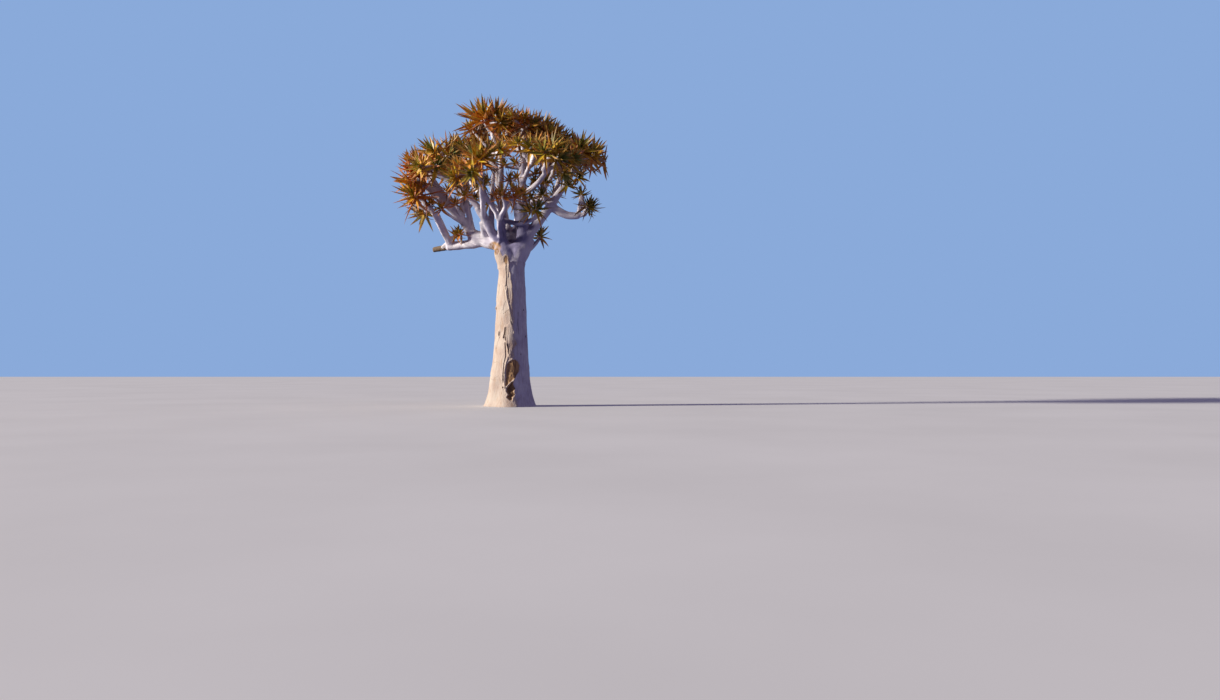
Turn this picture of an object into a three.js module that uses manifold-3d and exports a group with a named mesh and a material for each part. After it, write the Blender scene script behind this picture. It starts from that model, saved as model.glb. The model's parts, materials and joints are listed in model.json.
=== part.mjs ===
// A kokerboom, or quiver tree: a stout tapering trunk that parts into smooth pale boughs, which fork again
// and again and end in rosettes of long narrow leaves. Millimetres, +X to the right, +Y to the back, +Z up.
// The origin is at the middle of the flat cut under the trunk, at ground level.

import * as THREE from "three";
import { mergeVertices } from "three/addons/utils/BufferGeometryUtils.js";
import Module from "manifold-3d";

const wasm = await Module();
wasm.setup();

// Clearances between solids
const GAP = 0.3;
const SPACE_MARGIN = 2;

// Trunk: its height to the fork, its girth on the way up and the lobes of its foot
const TRUNK_HEIGHT = 2240;
const NECK_HEIGHT = 1930;
const SHOULDER_HEIGHT = 2120;
const FOOT_RADIUS = 292;
const NECK_RADIUS = 182;
const SHOULDER_RADIUS = 196;
const CROTCH_RADIUS = 90;
const FLARE_RADIUS = 74;
const FLARE_FADE = 230;
const TAPER_POWER = 0.69;
const TRUNK_SIDES = 24;
const TRUNK_STEPS = 12;
const TRUNK_LOBES = [
  { count: 3, depth: 0.05, turn: 3.7, fade: 900 },
  { count: 5, depth: 0.035, turn: 2.1, fade: 1600 },
];

// Boughs
const BOUGH_SIDES = 8;
const BOUGH_STEP = 210;
const BOUGH_SWELL = 0.16;

// Twigs: each fork parts the heads it carries between two twigs
const TWIG_RADIUS = 23;
const TWIG_POWER = 0.42;
const TWIG_SIDES = 3;
const TWIG_LEAD = 0.3;
const FORK_SHARE = 0.5;
const HEAD_RISE = 0.75;
const HEAD_JITTER = 0.22;

// Leaves: an open rosette at the end of each twig
const LEAF_LENGTH = 375;
const LEAF_WIDTH = 70;
const LEAF_THICKNESS = 20;
const LEAF_WIDEST = 0.3;
const LEAF_CURVE = 0.05;
const LEAVES_PER_HEAD = 7;
const HEAD_LENGTH = 80;
const INNER_LENGTH = 0.72;
const INNER_PITCH = 14;
const OUTER_PITCH = 112;
const GOLDEN_ANGLE = 137.5;
const SHORTEST_LEAF = 0.62;

// The trunk parts into these lobes: tip, radius at the foot and at the tip
const lobes = {
  left_lobe: { foot: [-50, 0, 1930], tip: [-160, -30, 2370], bow: [-20, 20], radius: [132, 146] },
  right_lobe: { foot: [25, 0, 1930], tip: [225, -20, 2420], bow: [-20, 20], radius: [126, 118] },
  back_lobe: { foot: [0, 40, 1930], tip: [0, 190, 2335], bow: [-20, 20], radius: [120, 104] },
};

// Each bough leaves the limb named in from, at that share of its length. Its tip is given across, to the
// back and up, and bow moves its middle outwards and upwards from the straight line.
const boughs = {
  left_bough: { from: "left_lobe", at: 0.74, tip: [-599, 210, 2380], radius: [98, 84] },
  left_rising_bough: {
    from: "left_bough", at: 0.93, tip: [-1060, -100, 3110],
    bow: [-30, 30], radius: [56, 34],
  },
  left_thin_bough: {
    from: "left_rising_bough", at: 0.42, tip: [-1150, -160, 3010],
    bow: [20, -30], radius: [34, 27],
  },
  left_upright_bough: {
    from: "left_rising_bough", at: 0.18, tip: [-690, 110, 2990],
    bow: [130, -20], radius: [42, 30],
  },
  left_low_bough: { from: "left_bough", at: 0.55, tip: [-941, 260, 2266], bow: [0, -30], radius: [64, 54] },
  dead_stub: { from: "left_low_bough", at: 0.9, tip: [-1160, 380, 2239], radius: [38, 32] },
  left_low_rising_bough: {
    from: "left_low_bough", at: 0.93, tip: [-1090, -160, 2710],
    bow: [-20, -20], radius: [36, 27],
  },
  left_centre_bough: {
    from: "left_lobe", at: 0.75, tip: [-385, -120, 2680],
    bow: [60, -40], radius: [74, 50],
  },
  left_long_bough: {
    from: "left_centre_bough", at: 0.95, tip: [-1000, -250, 3220],
    bow: [-70, 80], radius: [46, 30],
  },
  left_front_bough: {
    from: "left_centre_bough", at: 0.9, tip: [-350, -600, 3000],
    bow: [110, -60], radius: [42, 30],
  },
  centre_bough: { from: "left_lobe", at: 0.85, tip: [-165, 60, 3530], bow: [-40, 30], radius: [62, 32] },
  centre_right_bough: {
    from: "right_lobe", at: 0.75, tip: [160, -30, 3620],
    bow: [60, 0], radius: [94, 30],
  },
  fork_bough: {
    from: "centre_right_bough", at: 0.62, tip: [275, -220, 3360],
    bow: [20, -20], radius: [36, 28],
  },
  right_front_bough: {
    from: "centre_right_bough", at: 0.5, tip: [500, -480, 3180],
    bow: [90, -60], radius: [42, 30],
  },
  right_bough: { from: "right_lobe", at: 0.8, tip: [865, -60, 3280], bow: [20, -30], radius: [78, 36] },
  right_upright_bough: {
    from: "right_bough", at: 0.5, tip: [395, 80, 3380],
    bow: [60, -60], radius: [50, 30],
  },
  right_back_bough: {
    from: "right_bough", at: 0.55, tip: [660, 350, 3380],
    bow: [40, -60], radius: [38, 28],
  },
  right_low_bough: {
    from: "right_bough", at: 0.5, tip: [950, -80, 2650],
    bow: [0, -110], radius: [39, 34],
  },
  crossing_bough: {
    from: "centre_bough", at: 0.27, tip: [360, -270, 2610],
    bow: [0, -170], radius: [36, 28],
  },
  front_bough: { from: "left_lobe", at: 0.9, tip: [-140, -330, 2570], bow: [70, -40], radius: [36, 32] },
  right_spur: { from: "right_lobe", at: 0.3, tip: [345, 200, 2340], bow: [40, -30], radius: [38, 26] },
  back_left_bough: {
    from: "back_lobe", at: 0.8, tip: [-320, 800, 3480],
    bow: [90, -60], radius: [66, 34],
  },
  back_left_side_bough: {
    from: "back_left_bough", at: 0.45, tip: [-740, 600, 3370],
    bow: [60, -60], radius: [42, 29],
  },
  back_right_bough: {
    from: "back_lobe", at: 0.75, tip: [110, 850, 3560],
    bow: [90, -60], radius: [66, 33],
  },
  back_right_side_bough: {
    from: "back_right_bough", at: 0.4, tip: [540, 650, 3400],
    bow: [60, -60], radius: [42, 29],
  },
};

// Each crown grows on from the tip of its bough. Its heads stand round aim, spread apart, with the first
// one turned that many degrees round the stem. A crown with small leaves says how long against the others.
const crowns = {
  left_outer_crown: {
    from: "left_rising_bough", aim: [-1220, -40, 3390], heads: 4,
    spread: 160, turn: 0, leaf: 0.95,
  },
  left_orange_crown: {
    from: "left_thin_bough", aim: [-1340, -260, 3170], heads: 2,
    spread: 90, turn: 90,
  },
  left_edge_crown: {
    from: "left_low_rising_bough", aim: [-1290, -240, 2950], heads: 2,
    spread: 90, turn: 60,
  },
  left_low_crown: {
    from: "left_low_rising_bough", aim: [-1230, -10, 2700], heads: 1,
    leaf: 0.7, green: true,
  },
  left_shoulder_crown: {
    from: "left_long_bough", aim: [-890, -330, 3490], heads: 3,
    spread: 150, turn: 30, leaf: 0.85,
  },
  left_front_edge_crown: {
    from: "left_long_bough", aim: [-1050, -560, 3260], heads: 2,
    spread: 110, turn: 0, leaf: 0.8,
  },
  left_inner_crown: {
    from: "left_upright_bough", aim: [-640, 230, 3660], heads: 4,
    spread: 170, turn: 0, leaf: 0.85, green: true,
  },
  golden_crown: { from: "left_front_bough", aim: [-340, -730, 3350], heads: 3, spread: 85, turn: 40 },
  left_front_crown: {
    from: "left_front_bough", aim: [-670, -690, 3150], heads: 2,
    spread: 90, turn: 60, leaf: 0.75,
  },
  middle_green_crown: {
    from: "front_bough", aim: [-370, -520, 3030], heads: 2,
    spread: 50, turn: 20, leaf: 0.55, green: true,
  },
  middle_golden_crown: {
    from: "front_bough", aim: [20, -500, 2890], heads: 2,
    spread: 100, turn: 0, leaf: 0.6,
  },
  elbow_crown: { from: "left_low_bough", aim: [-793, 100, 2422], heads: 1, leaf: 0.46 },
  summit_crown: {
    from: "centre_bough", aim: [-340, -20, 4050], heads: 4,
    spread: 140, turn: 30, leaf: 1.06,
  },
  summit_back_crown: {
    from: "centre_bough", aim: [-30, 250, 4030], heads: 3,
    spread: 120, turn: 60, leaf: 0.75,
  },
  centre_small_crown: { from: "centre_bough", aim: [-150, -180, 3570], heads: 1, leaf: 0.55 },
  top_crown: {
    from: "centre_right_bough", aim: [180, -60, 3935], heads: 4,
    spread: 140, turn: 0, leaf: 0.8,
  },
  top_back_crown: {
    from: "centre_right_bough", aim: [400, 270, 3955], heads: 3,
    spread: 130, turn: 30, leaf: 0.78,
  },
  fork_crown: {
    from: "fork_bough", aim: [390, -370, 3560], heads: 3,
    spread: 120, turn: 0, leaf: 0.75, green: true,
  },
  fork_small_crown: { from: "fork_bough", aim: [80, -350, 3610], heads: 2, spread: 70, turn: 0, leaf: 0.5 },
  hanging_crown: {
    from: "crossing_bough", aim: [330, -370, 2700], heads: 2,
    spread: 70, turn: 0, leaf: 0.6, green: true,
  },
  right_front_crown: {
    from: "right_front_bough", aim: [610, -660, 3430], heads: 3,
    spread: 130, turn: 0, leaf: 0.82,
  },
  right_inner_crown: {
    from: "right_front_bough", aim: [790, -430, 3430], heads: 2,
    spread: 120, turn: 60, leaf: 0.82, green: true,
  },
  right_outer_crown: {
    from: "right_bough", aim: [1050, -100, 3550], heads: 4,
    spread: 130, turn: 30, leaf: 0.88,
  },
  right_shoulder_crown: {
    from: "right_bough", aim: [880, 130, 3570], heads: 2,
    spread: 110, turn: 0, leaf: 0.82, green: true,
  },
  right_upright_crown: {
    from: "right_upright_bough", aim: [490, 0, 3820], heads: 3,
    spread: 120, turn: 60, leaf: 0.85,
  },
  right_top_back_crown: {
    from: "right_upright_bough", aim: [600, 370, 3820], heads: 3,
    spread: 130, turn: 0, leaf: 0.85,
  },
  right_back_crown: {
    from: "right_back_bough", aim: [960, 460, 3650], heads: 3,
    spread: 140, turn: 0, leaf: 0.85, green: true,
  },
  right_low_inner_crown: {
    from: "right_low_bough", aim: [975, -50, 2975], heads: 1,
    leaf: 0.45, green: true,
  },
  right_low_outer_crown: {
    from: "right_low_bough", aim: [1080, -130, 2810], heads: 1,
    leaf: 0.52, green: true,
  },
  spur_crown: { from: "right_spur", aim: [375, 240, 2430], heads: 1, leaf: 0.55, green: true },
  back_left_crown: {
    from: "back_left_bough", aim: [-480, 820, 3830], heads: 4,
    spread: 180, turn: 0, leaf: 0.9, green: true,
  },
  back_left_side_crown: {
    from: "back_left_side_bough", aim: [-900, 640, 3590], heads: 4,
    spread: 180, turn: 30, leaf: 0.9,
  },
  back_right_crown: {
    from: "back_right_bough", aim: [220, 850, 3930], heads: 4,
    spread: 180, turn: 60, leaf: 0.9,
  },
  back_right_side_crown: {
    from: "back_right_side_bough", aim: [640, 860, 3680], heads: 4,
    spread: 180, turn: 0, leaf: 0.9, green: true,
  },
};

const matt = (color, roughness) => new THREE.MeshStandardMaterial({ color, roughness, metalness: 0 });
const barkMaterial = matt(0xd8bd9c, 0.85);
const boughMaterial = matt(0xd9d2cb, 0.7);
const deadWoodMaterial = matt(0x6f6353, 0.95);
const goldenLeafMaterial = matt(0xb0782a, 0.6);
const greenLeafMaterial = matt(0x6b6a2c, 0.6);

const UP = new THREE.Vector3(0, 0, 1);

// The three corners of a leaf's section lie on a circle: this far across, and this far from keel to face
const LEAF_EDGE = Math.sin(Math.PI / 3);
const LEAF_RISE = 1.5;

function seededRandom(seed) {
  let state = seed;
  return () => {
    state = (state * 16807) % 2147483647;
    return state / 2147483647;
  };
}

// A closed geometry as a solid that can be joined and cut
function solidOf(geometry) {
  geometry.deleteAttribute("normal");
  geometry.deleteAttribute("uv");
  const merged = mergeVertices(geometry, 1e-4);
  return new wasm.Manifold(
    new wasm.Mesh({
      numProp: 3,
      vertProperties: new Float32Array(merged.attributes.position.array),
      triVerts: new Uint32Array(merged.index.array),
    }),
  );
}

function meshOf(name, solid, material) {
  const { vertProperties, triVerts } = solid.getMesh();
  const geometry = new THREE.BufferGeometry();
  geometry.setAttribute("position", new THREE.BufferAttribute(vertProperties, 3));
  geometry.setIndex(new THREE.BufferAttribute(triVerts, 1));
  geometry.computeVertexNormals();
  const mesh = new THREE.Mesh(geometry, material);
  mesh.name = name;
  return mesh;
}

function largestBody(solid) {
  const bodies = solid.decompose();
  return bodies.reduce((best, body) => (body.volume() > best.volume() ? body : best));
}

function boxesMeet(a, b) {
  const [boxA, boxB] = [a.boundingBox(), b.boundingBox()];
  return [0, 1, 2].every((axis) => boxA.min[axis] < boxB.max[axis] && boxB.min[axis] < boxA.max[axis]);
}

function touchesAny(solid, others) {
  return others.some((other) => boxesMeet(other, solid) && !other.intersect(solid).isEmpty());
}

// A line from foot to tip, with its middle moved outwards along its heading and upwards
function bowedLine(foot, tip, [outwards, upwards]) {
  const heading = tip.clone().sub(foot).setZ(0).normalize();
  const middle = foot.clone().lerp(tip, 0.5);
  middle.addScaledVector(heading, outwards).addScaledVector(UP, upwards);
  return new THREE.QuadraticBezierCurve3(foot, middle, tip);
}

// A round limb along a curve: a cylinder whose rings are set across the curve. Growing it moves its flat
// sides and both of its ends out by that much.
function limbSolid({ curve, radiusAt, sides, steps }, grow = 0) {
  const geometry = new THREE.CylinderGeometry(1, 1, 1, sides, steps);
  const { tangents, normals, binormals } = curve.computeFrenetFrames(steps);
  const corners = geometry.attributes.position;
  for (let i = 0; i < corners.count; i += 1) {
    const share = corners.getY(i) + 0.5;
    const ring = Math.round(share * steps);
    const radius = radiusAt(share) + grow / Math.cos(Math.PI / sides);
    const point = curve.getPointAt(share);
    point.addScaledVector(normals[ring], corners.getX(i) * radius);
    point.addScaledVector(binormals[ring], -corners.getZ(i) * radius);
    if (ring === 0) point.addScaledVector(tangents[ring], -grow);
    if (ring === steps) point.addScaledVector(tangents[ring], grow);
    corners.setXYZ(i, point.x, point.y, point.z);
  }
  return solidOf(geometry);
}

// How thick a bough is along its length: it tapers evenly, with a swelling where it leaves its limb
function boughRadius([footRadius, tipRadius]) {
  return (share) => {
    const taper = THREE.MathUtils.lerp(footRadius, tipRadius, share);
    return taper * (1 + BOUGH_SWELL * Math.max(0, 1 - share * 5) ** 2);
  };
}

function makeLimb(foot, { tip, bow = [0, 0], radius }) {
  const curve = bowedLine(foot, new THREE.Vector3(...tip), bow);
  const steps = Math.max(2, Math.round(curve.getLength() / BOUGH_STEP));
  return { curve, radiusAt: boughRadius(radius), sides: BOUGH_SIDES, steps };
}

// The trunk's radius before its lobes: wide at the foot, narrowest at the neck, then a shoulder that closes
// between the lobes
function trunkGirth(height) {
  const { lerp, smoothstep } = THREE.MathUtils;
  if (height < NECK_HEIGHT) {
    const flare = FLARE_RADIUS * Math.exp(-height / FLARE_FADE);
    return lerp(FOOT_RADIUS, NECK_RADIUS, (height / NECK_HEIGHT) ** TAPER_POWER) + flare;
  }
  if (height < SHOULDER_HEIGHT) {
    return lerp(NECK_RADIUS, SHOULDER_RADIUS, smoothstep(height, NECK_HEIGHT, SHOULDER_HEIGHT));
  }
  const share = (height - SHOULDER_HEIGHT) / (TRUNK_HEIGHT - SHOULDER_HEIGHT);
  return lerp(SHOULDER_RADIUS, CROTCH_RADIUS, 1 - Math.sqrt(1 - share ** 2));
}

function lobeSwell(angle, height) {
  const swell = ({ count, depth, turn, fade }) => {
    return depth * Math.cos(count * angle + turn) * Math.exp(-height / fade);
  };
  return TRUNK_LOBES.reduce((sum, lobe) => sum + swell(lobe), 0);
}

// The standing part of the trunk: rings of a cylinder, with the lowest one flat on the ground
function trunkColumn(grow = 0) {
  const geometry = new THREE.CylinderGeometry(1, 1, 1, TRUNK_SIDES, TRUNK_STEPS);
  const corners = geometry.attributes.position;
  for (let i = 0; i < corners.count; i += 1) {
    const share = THREE.MathUtils.smoothstep(corners.getY(i), -0.5, 0.5);
    const height = share * TRUNK_HEIGHT;
    const [across, back] = [corners.getX(i), -corners.getZ(i)];
    const angle = Math.atan2(back, across);
    const radius = trunkGirth(height) * (1 + lobeSwell(angle, height)) + grow;
    const rim = Math.hypot(across, back);
    corners.setXYZ(i, across * radius, back * radius, height + (share === 1 ? grow : 0) * rim);
  }
  return solidOf(geometry);
}

const limbs = {};
for (const [name, { foot, ...shape }] of Object.entries(lobes)) {
  limbs[name] = makeLimb(new THREE.Vector3(...foot), shape);
}
for (const [name, { from, at, ...shape }] of Object.entries(boughs)) {
  limbs[name] = makeLimb(limbs[from].curve.getPointAt(at), shape);
}

function trunkSolid(grow = 0) {
  const lobeSolids = Object.keys(lobes).map((name) => limbSolid(limbs[name], grow));
  return lobeSolids.reduce((trunk, lobe) => trunk.add(lobe), trunkColumn(grow));
}

const tree = new THREE.Group();
tree.name = "kokerboom";
const grownLimbs = [trunkSolid(GAP)];
tree.add(meshOf("trunk", trunkSolid(), barkMaterial));

// Cuts a solid clear of every limb made so far, and of anything else given
function cutClear(solid, others = []) {
  const near = [...grownLimbs, ...others].filter((limb) => boxesMeet(limb, solid));
  return largestBody(near.reduce((rest, limb) => rest.subtract(limb), solid));
}

for (const name of Object.keys(boughs)) {
  const material = name === "dead_stub" ? deadWoodMaterial : boughMaterial;
  tree.add(meshOf(name, cutClear(limbSolid(limbs[name])), material));
  grownLimbs.push(limbSolid(limbs[name], GAP));
}

// Where the heads of a crown stand: round its aim, across the stem
function placeHeads({ aim, heads, spread = 0, turn = 0 }, foot, random) {
  const middle = new THREE.Vector3(...aim);
  const stem = middle.clone().sub(foot).normalize();
  const side = new THREE.Vector3().crossVectors(stem, UP).normalize();
  const rise = new THREE.Vector3().crossVectors(side, stem);
  return Array.from({ length: heads }, (_, i) => {
    const angle = THREE.MathUtils.degToRad(turn) + (i * 2 * Math.PI) / heads;
    const head = middle.clone().addScaledVector(side, Math.cos(angle) * spread);
    head.addScaledVector(rise, Math.sin(angle) * spread);
    head.addScaledVector(stem, (random() - 0.5) * 2 * HEAD_JITTER * spread);
    return head;
  });
}

function meanOf(points) {
  const sum = points.reduce((total, point) => total.add(point), new THREE.Vector3());
  return sum.divideScalar(points.length);
}

function twigRadius(headCount) {
  return TWIG_RADIUS * headCount ** TWIG_POWER;
}

// A twig that carries some heads. It sets off in the direction given and runs through its forks to its own
// head. At each fork half of the heads left go to a twig of their own.
function growTwig(foot, heads, direction, carried) {
  const path = [foot];
  const radii = [twigRadius(heads.length)];
  let left = heads;
  while (left.length > 1) {
    const fork = path.at(-1).clone().lerp(meanOf(left), FORK_SHARE);
    const heading = fork.clone().sub(path.at(-1)).normalize();
    const kept = left.slice(0, Math.ceil(left.length / 2));
    growTwig(fork, left.slice(kept.length), heading, carried);
    path.push(fork);
    radii.push(twigRadius(kept.length + 0.5));
    left = kept;
  }
  const lead = foot.clone().addScaledVector(direction, foot.distanceTo(path[1] ?? left[0]) * TWIG_LEAD);
  path.splice(1, 0, lead);
  radii.splice(1, 0, radii[0]);
  const curve = new THREE.CatmullRomCurve3([...path, left[0]], false, "catmullrom", 0.5);
  const radiusAt = (share) => {
    const place = share * radii.length;
    const i = Math.min(Math.floor(place), radii.length - 1);
    return THREE.MathUtils.lerp(radii[i], radii[i + 1] ?? TWIG_RADIUS, place - i);
  };
  carried.twigs.push({ curve, radiusAt, sides: TWIG_SIDES, steps: path.length });
  carried.heads.push({ point: left[0], axis: curve.getTangentAt(1).lerp(UP, 1 - HEAD_RISE).normalize() });
}

// The foot of a crown's stem, on the tip of its bough. Two stems on one tip stand side by side, each on the
// side that it leans to.
function stemFoot({ from, aim, heads }, direction) {
  const foot = limbs[from].curve.getPointAt(1).addScaledVector(direction, GAP);
  const sharing = Object.values(crowns).filter((crown) => crown.from === from).length;
  if (sharing === 1) return foot;
  const sideways = new THREE.Vector3(...aim).sub(foot).projectOnPlane(direction).normalize();
  return foot.addScaledVector(sideways, twigRadius(heads));
}

const growths = Object.entries(crowns).map(([name, crown], index) => {
  const random = seededRandom(index * 97 + 11);
  const direction = limbs[crown.from].curve.getTangentAt(1);
  const foot = stemFoot(crown, direction);
  const carried = { twigs: [], heads: [] };
  growTwig(foot, placeHeads(crown, foot, random), direction, carried);
  return { name, random, leafScale: crown.leaf ?? 1, ...carried };
});

// The space of a crown: every point nearer to one of its heads than to any head of another crown
function inOwnSpace(point, growth) {
  const reachTo = ({ heads }) => Math.min(...heads.map((head) => point.distanceTo(head.point)));
  const own = reachTo(growth) + SPACE_MARGIN;
  return growths.every((other) => other === growth || reachTo(other) > own);
}

// Wood that a leaf of this crown has to keep clear of: every bough, and the twigs of every other crown
function touchesWood(solid, growth) {
  const others = growths.filter((other) => other !== growth).flatMap((other) => other.grownTwigs);
  return touchesAny(solid, [...grownLimbs, ...others]);
}

// A leaf with a flat upper face and a keel below: a sphere of three sides drawn out from its root, inside
// the twig, past its widest place to its tip. The widest place lies lower than both ends.
function leafGeometry(root, along, face, length, scale) {
  const side = new THREE.Vector3().crossVectors(along, face);
  const geometry = new THREE.SphereGeometry(1, 3, 2);
  const corners = geometry.attributes.position;
  for (let i = 0; i < corners.count; i += 1) {
    const [above, lengthwise, across] = [corners.getX(i), corners.getY(i), -corners.getZ(i)];
    const share = lengthwise > 0.5 ? 1 : lengthwise < -0.5 ? 0 : LEAF_WIDEST;
    const sag = share === LEAF_WIDEST ? -LEAF_CURVE * length : 0;
    const point = root.clone().addScaledVector(along, share * length);
    point.addScaledVector(side, (across / LEAF_EDGE) * (LEAF_WIDTH / 2) * scale);
    point.addScaledVector(face, sag + above * (LEAF_THICKNESS / LEAF_RISE) * scale);
    corners.setXYZ(i, point.x, point.y, point.z);
  }
  return geometry;
}

// Points on a leaf's outline, which have to stay in the crown's space
function outlineOf(geometry, root, tip) {
  const corners = geometry.attributes.position;
  const points = [];
  for (let i = 0; i < corners.count; i += 1) {
    const corner = new THREE.Vector3().fromBufferAttribute(corners, i);
    if (corner.distanceTo(root) < 1) continue;
    points.push(corner, corner.clone().lerp(tip, 0.35), corner.clone().lerp(tip, 0.7));
  }
  return points;
}

// The leaves of one head, set round its axis by the golden angle, from upright ones at the top to spreading
// ones below. A leaf that doesn't fit is tried shorter, and then skipped.
function headLeaves({ point, axis }, growth) {
  const side = new THREE.Vector3().crossVectors(axis, new THREE.Vector3(0.3, 1, 0.2)).normalize();
  const start = growth.random() * 360;
  const leaves = [];
  for (let i = 0; i < LEAVES_PER_HEAD; i += 1) {
    const share = (i + 0.5) / LEAVES_PER_HEAD;
    const turn = THREE.MathUtils.degToRad(start + i * GOLDEN_ANGLE);
    const pitch = THREE.MathUtils.degToRad(THREE.MathUtils.lerp(INNER_PITCH, OUTER_PITCH, share));
    const out = side.clone().applyAxisAngle(axis, turn);
    const along = axis.clone().multiplyScalar(Math.cos(pitch)).addScaledVector(out, Math.sin(pitch));
    const face = axis.clone().multiplyScalar(Math.sin(pitch)).addScaledVector(out, -Math.cos(pitch));
    const root = point.clone().addScaledVector(axis, -HEAD_LENGTH * share);
    const grown = THREE.MathUtils.lerp(INNER_LENGTH, 1, Math.min(1, share * 2));
    const full = LEAF_LENGTH * growth.leafScale * grown * (0.9 + 0.2 * growth.random());
    for (const shorter of [1, 0.8, SHORTEST_LEAF]) {
      const length = full * shorter;
      const geometry = leafGeometry(root, along, face, length, Math.sqrt(growth.leafScale));
      const outline = outlineOf(geometry, root, root.clone().addScaledVector(along, length));
      if (!outline.every((spot) => inOwnSpace(spot, growth))) continue;
      const leaf = solidOf(geometry);
      if (touchesWood(leaf, growth) || touchesAny(leaf, finishedCrowns)) continue;
      leaves.push(leaf);
      break;
    }
  }
  return leaves;
}

// The wood of every crown comes first, each cut clear of the boughs and of the crowns before it
const takenByTwigs = [];
for (const growth of growths) {
  growth.grownTwigs = growth.twigs.map((twig) => limbSolid(twig, GAP));
  const wood = growth.twigs.map((twig) => limbSolid(twig)).reduce((all, twig) => all.add(twig));
  growth.wood = cutClear(wood, takenByTwigs);
  takenByTwigs.push(...growth.grownTwigs);
}

const finishedCrowns = [];
for (const growth of growths) {
  const leaves = growth.heads.flatMap((head) => headLeaves(head, growth));
  const crown = largestBody(leaves.reduce((all, leaf) => all.add(leaf), growth.wood));
  finishedCrowns.push(crown);
  tree.add(meshOf(growth.name, crown, crowns[growth.name].green ? greenLeafMaterial : goldenLeafMaterial));
}

export default tree;
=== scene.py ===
# A kokerboom, or quiver tree, dressed over its frame: flaking bark on the trunk, smooth pale boughs that
# fork into fine twigs, and a rosette of long narrow leaves at the end of every twig.
# Metres, +X to the right, +Y to the back, +Z up, from the middle of the flat cut under the trunk.

import json
import math
import random

import bpy
import numpy as np
from mathutils import Matrix, Quaternion, Vector, noise
from mathutils.bvhtree import BVHTree

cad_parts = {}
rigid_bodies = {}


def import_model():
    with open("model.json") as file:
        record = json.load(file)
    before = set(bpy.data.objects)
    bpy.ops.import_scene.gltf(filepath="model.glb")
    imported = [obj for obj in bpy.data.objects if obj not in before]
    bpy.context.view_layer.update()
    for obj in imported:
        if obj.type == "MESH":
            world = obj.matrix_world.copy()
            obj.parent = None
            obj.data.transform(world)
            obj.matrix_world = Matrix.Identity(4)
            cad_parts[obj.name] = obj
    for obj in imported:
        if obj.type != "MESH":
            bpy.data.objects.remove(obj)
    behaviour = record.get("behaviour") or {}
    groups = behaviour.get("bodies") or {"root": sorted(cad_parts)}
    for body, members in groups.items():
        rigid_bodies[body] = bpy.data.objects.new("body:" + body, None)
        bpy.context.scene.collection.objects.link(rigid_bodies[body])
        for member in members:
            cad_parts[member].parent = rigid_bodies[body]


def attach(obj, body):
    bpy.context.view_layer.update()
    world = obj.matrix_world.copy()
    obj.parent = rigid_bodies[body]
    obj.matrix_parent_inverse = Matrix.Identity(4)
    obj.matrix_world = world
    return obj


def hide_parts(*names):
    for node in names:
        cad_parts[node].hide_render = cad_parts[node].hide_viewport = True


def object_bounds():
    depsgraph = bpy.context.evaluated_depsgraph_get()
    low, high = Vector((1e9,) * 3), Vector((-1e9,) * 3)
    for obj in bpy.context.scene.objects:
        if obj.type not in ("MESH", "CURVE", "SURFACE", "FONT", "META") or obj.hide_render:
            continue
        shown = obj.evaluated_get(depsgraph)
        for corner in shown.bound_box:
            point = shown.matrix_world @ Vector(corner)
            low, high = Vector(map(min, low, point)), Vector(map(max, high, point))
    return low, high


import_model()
cad_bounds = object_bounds()

UP = Vector((0, 0, 1))

# A low soft sun from the left and a weaker one for the limbs alone: where each stands and how strong it is
SUN_FROM = (-9.0, -1.8, 2.8)
SUN_STRENGTH = 5.2
LIMB_SUN_FROM = (-9.0, -2.8, 3.0)
LIMB_SUN_STRENGTH = 3.6
SUN_COLOUR = (1.0, 0.95, 0.85)
SUN_WIDTH = math.radians(5)
SKY_GLOW = (0.58, 0.54, 1.0, 1)
SKY_STRENGTH = 0.22

# The camera stands where the photograph was taken from
CAMERA_PLACE = (1.379, -13.286, 0.546)
CAMERA_PITCH = math.radians(90 + 1.03)
LENS = 28
SENSOR_WIDTH = 36
FLOOR_SIZE = 80

# Trunk: its girth on the way up and the lobes of its foot
NECK_HEIGHT = 1.93
SHOULDER_HEIGHT = 2.12
FOOT_RADIUS = 0.292
NECK_RADIUS = 0.182
SHOULDER_RADIUS = 0.196
FLARE_RADIUS = 0.074
FLARE_FADE = 0.23
TAPER_POWER = 0.69
TRUNK_LOBES = ((3, 0.05, 3.7, 0.9), (5, 0.035, 2.1, 1.6))

# Limbs and twigs
BOUGH_SWELL = 0.16
SWELL_FALL = 5
TWIG_RADIUS = 0.023
TWIG_POWER = 0.42
TWIG_LEAD = 0.3
FORK_SHARE = 0.5
HEAD_RISE = 0.75
HEAD_JITTER = 0.22
CLEAR_OF_TIP = 0.0003
LOBE_ROUNDING = 0.55

# The trunk parts into these lobes. Each has its foot and tip, how far its middle is bowed outwards and
# upwards, and its radius at the foot and at the tip.
LOBES = {
    "left_lobe": ((-0.05, 0, 1.93), (-0.16, -0.03, 2.37), (-0.02, 0.02), (0.132, 0.146)),
    "right_lobe": ((0.025, 0, 1.93), (0.225, -0.02, 2.42), (-0.02, 0.02), (0.126, 0.118)),
    "back_lobe": ((0, 0.04, 1.93), (0, 0.19, 2.335), (-0.02, 0.02), (0.12, 0.104)),
}

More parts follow.
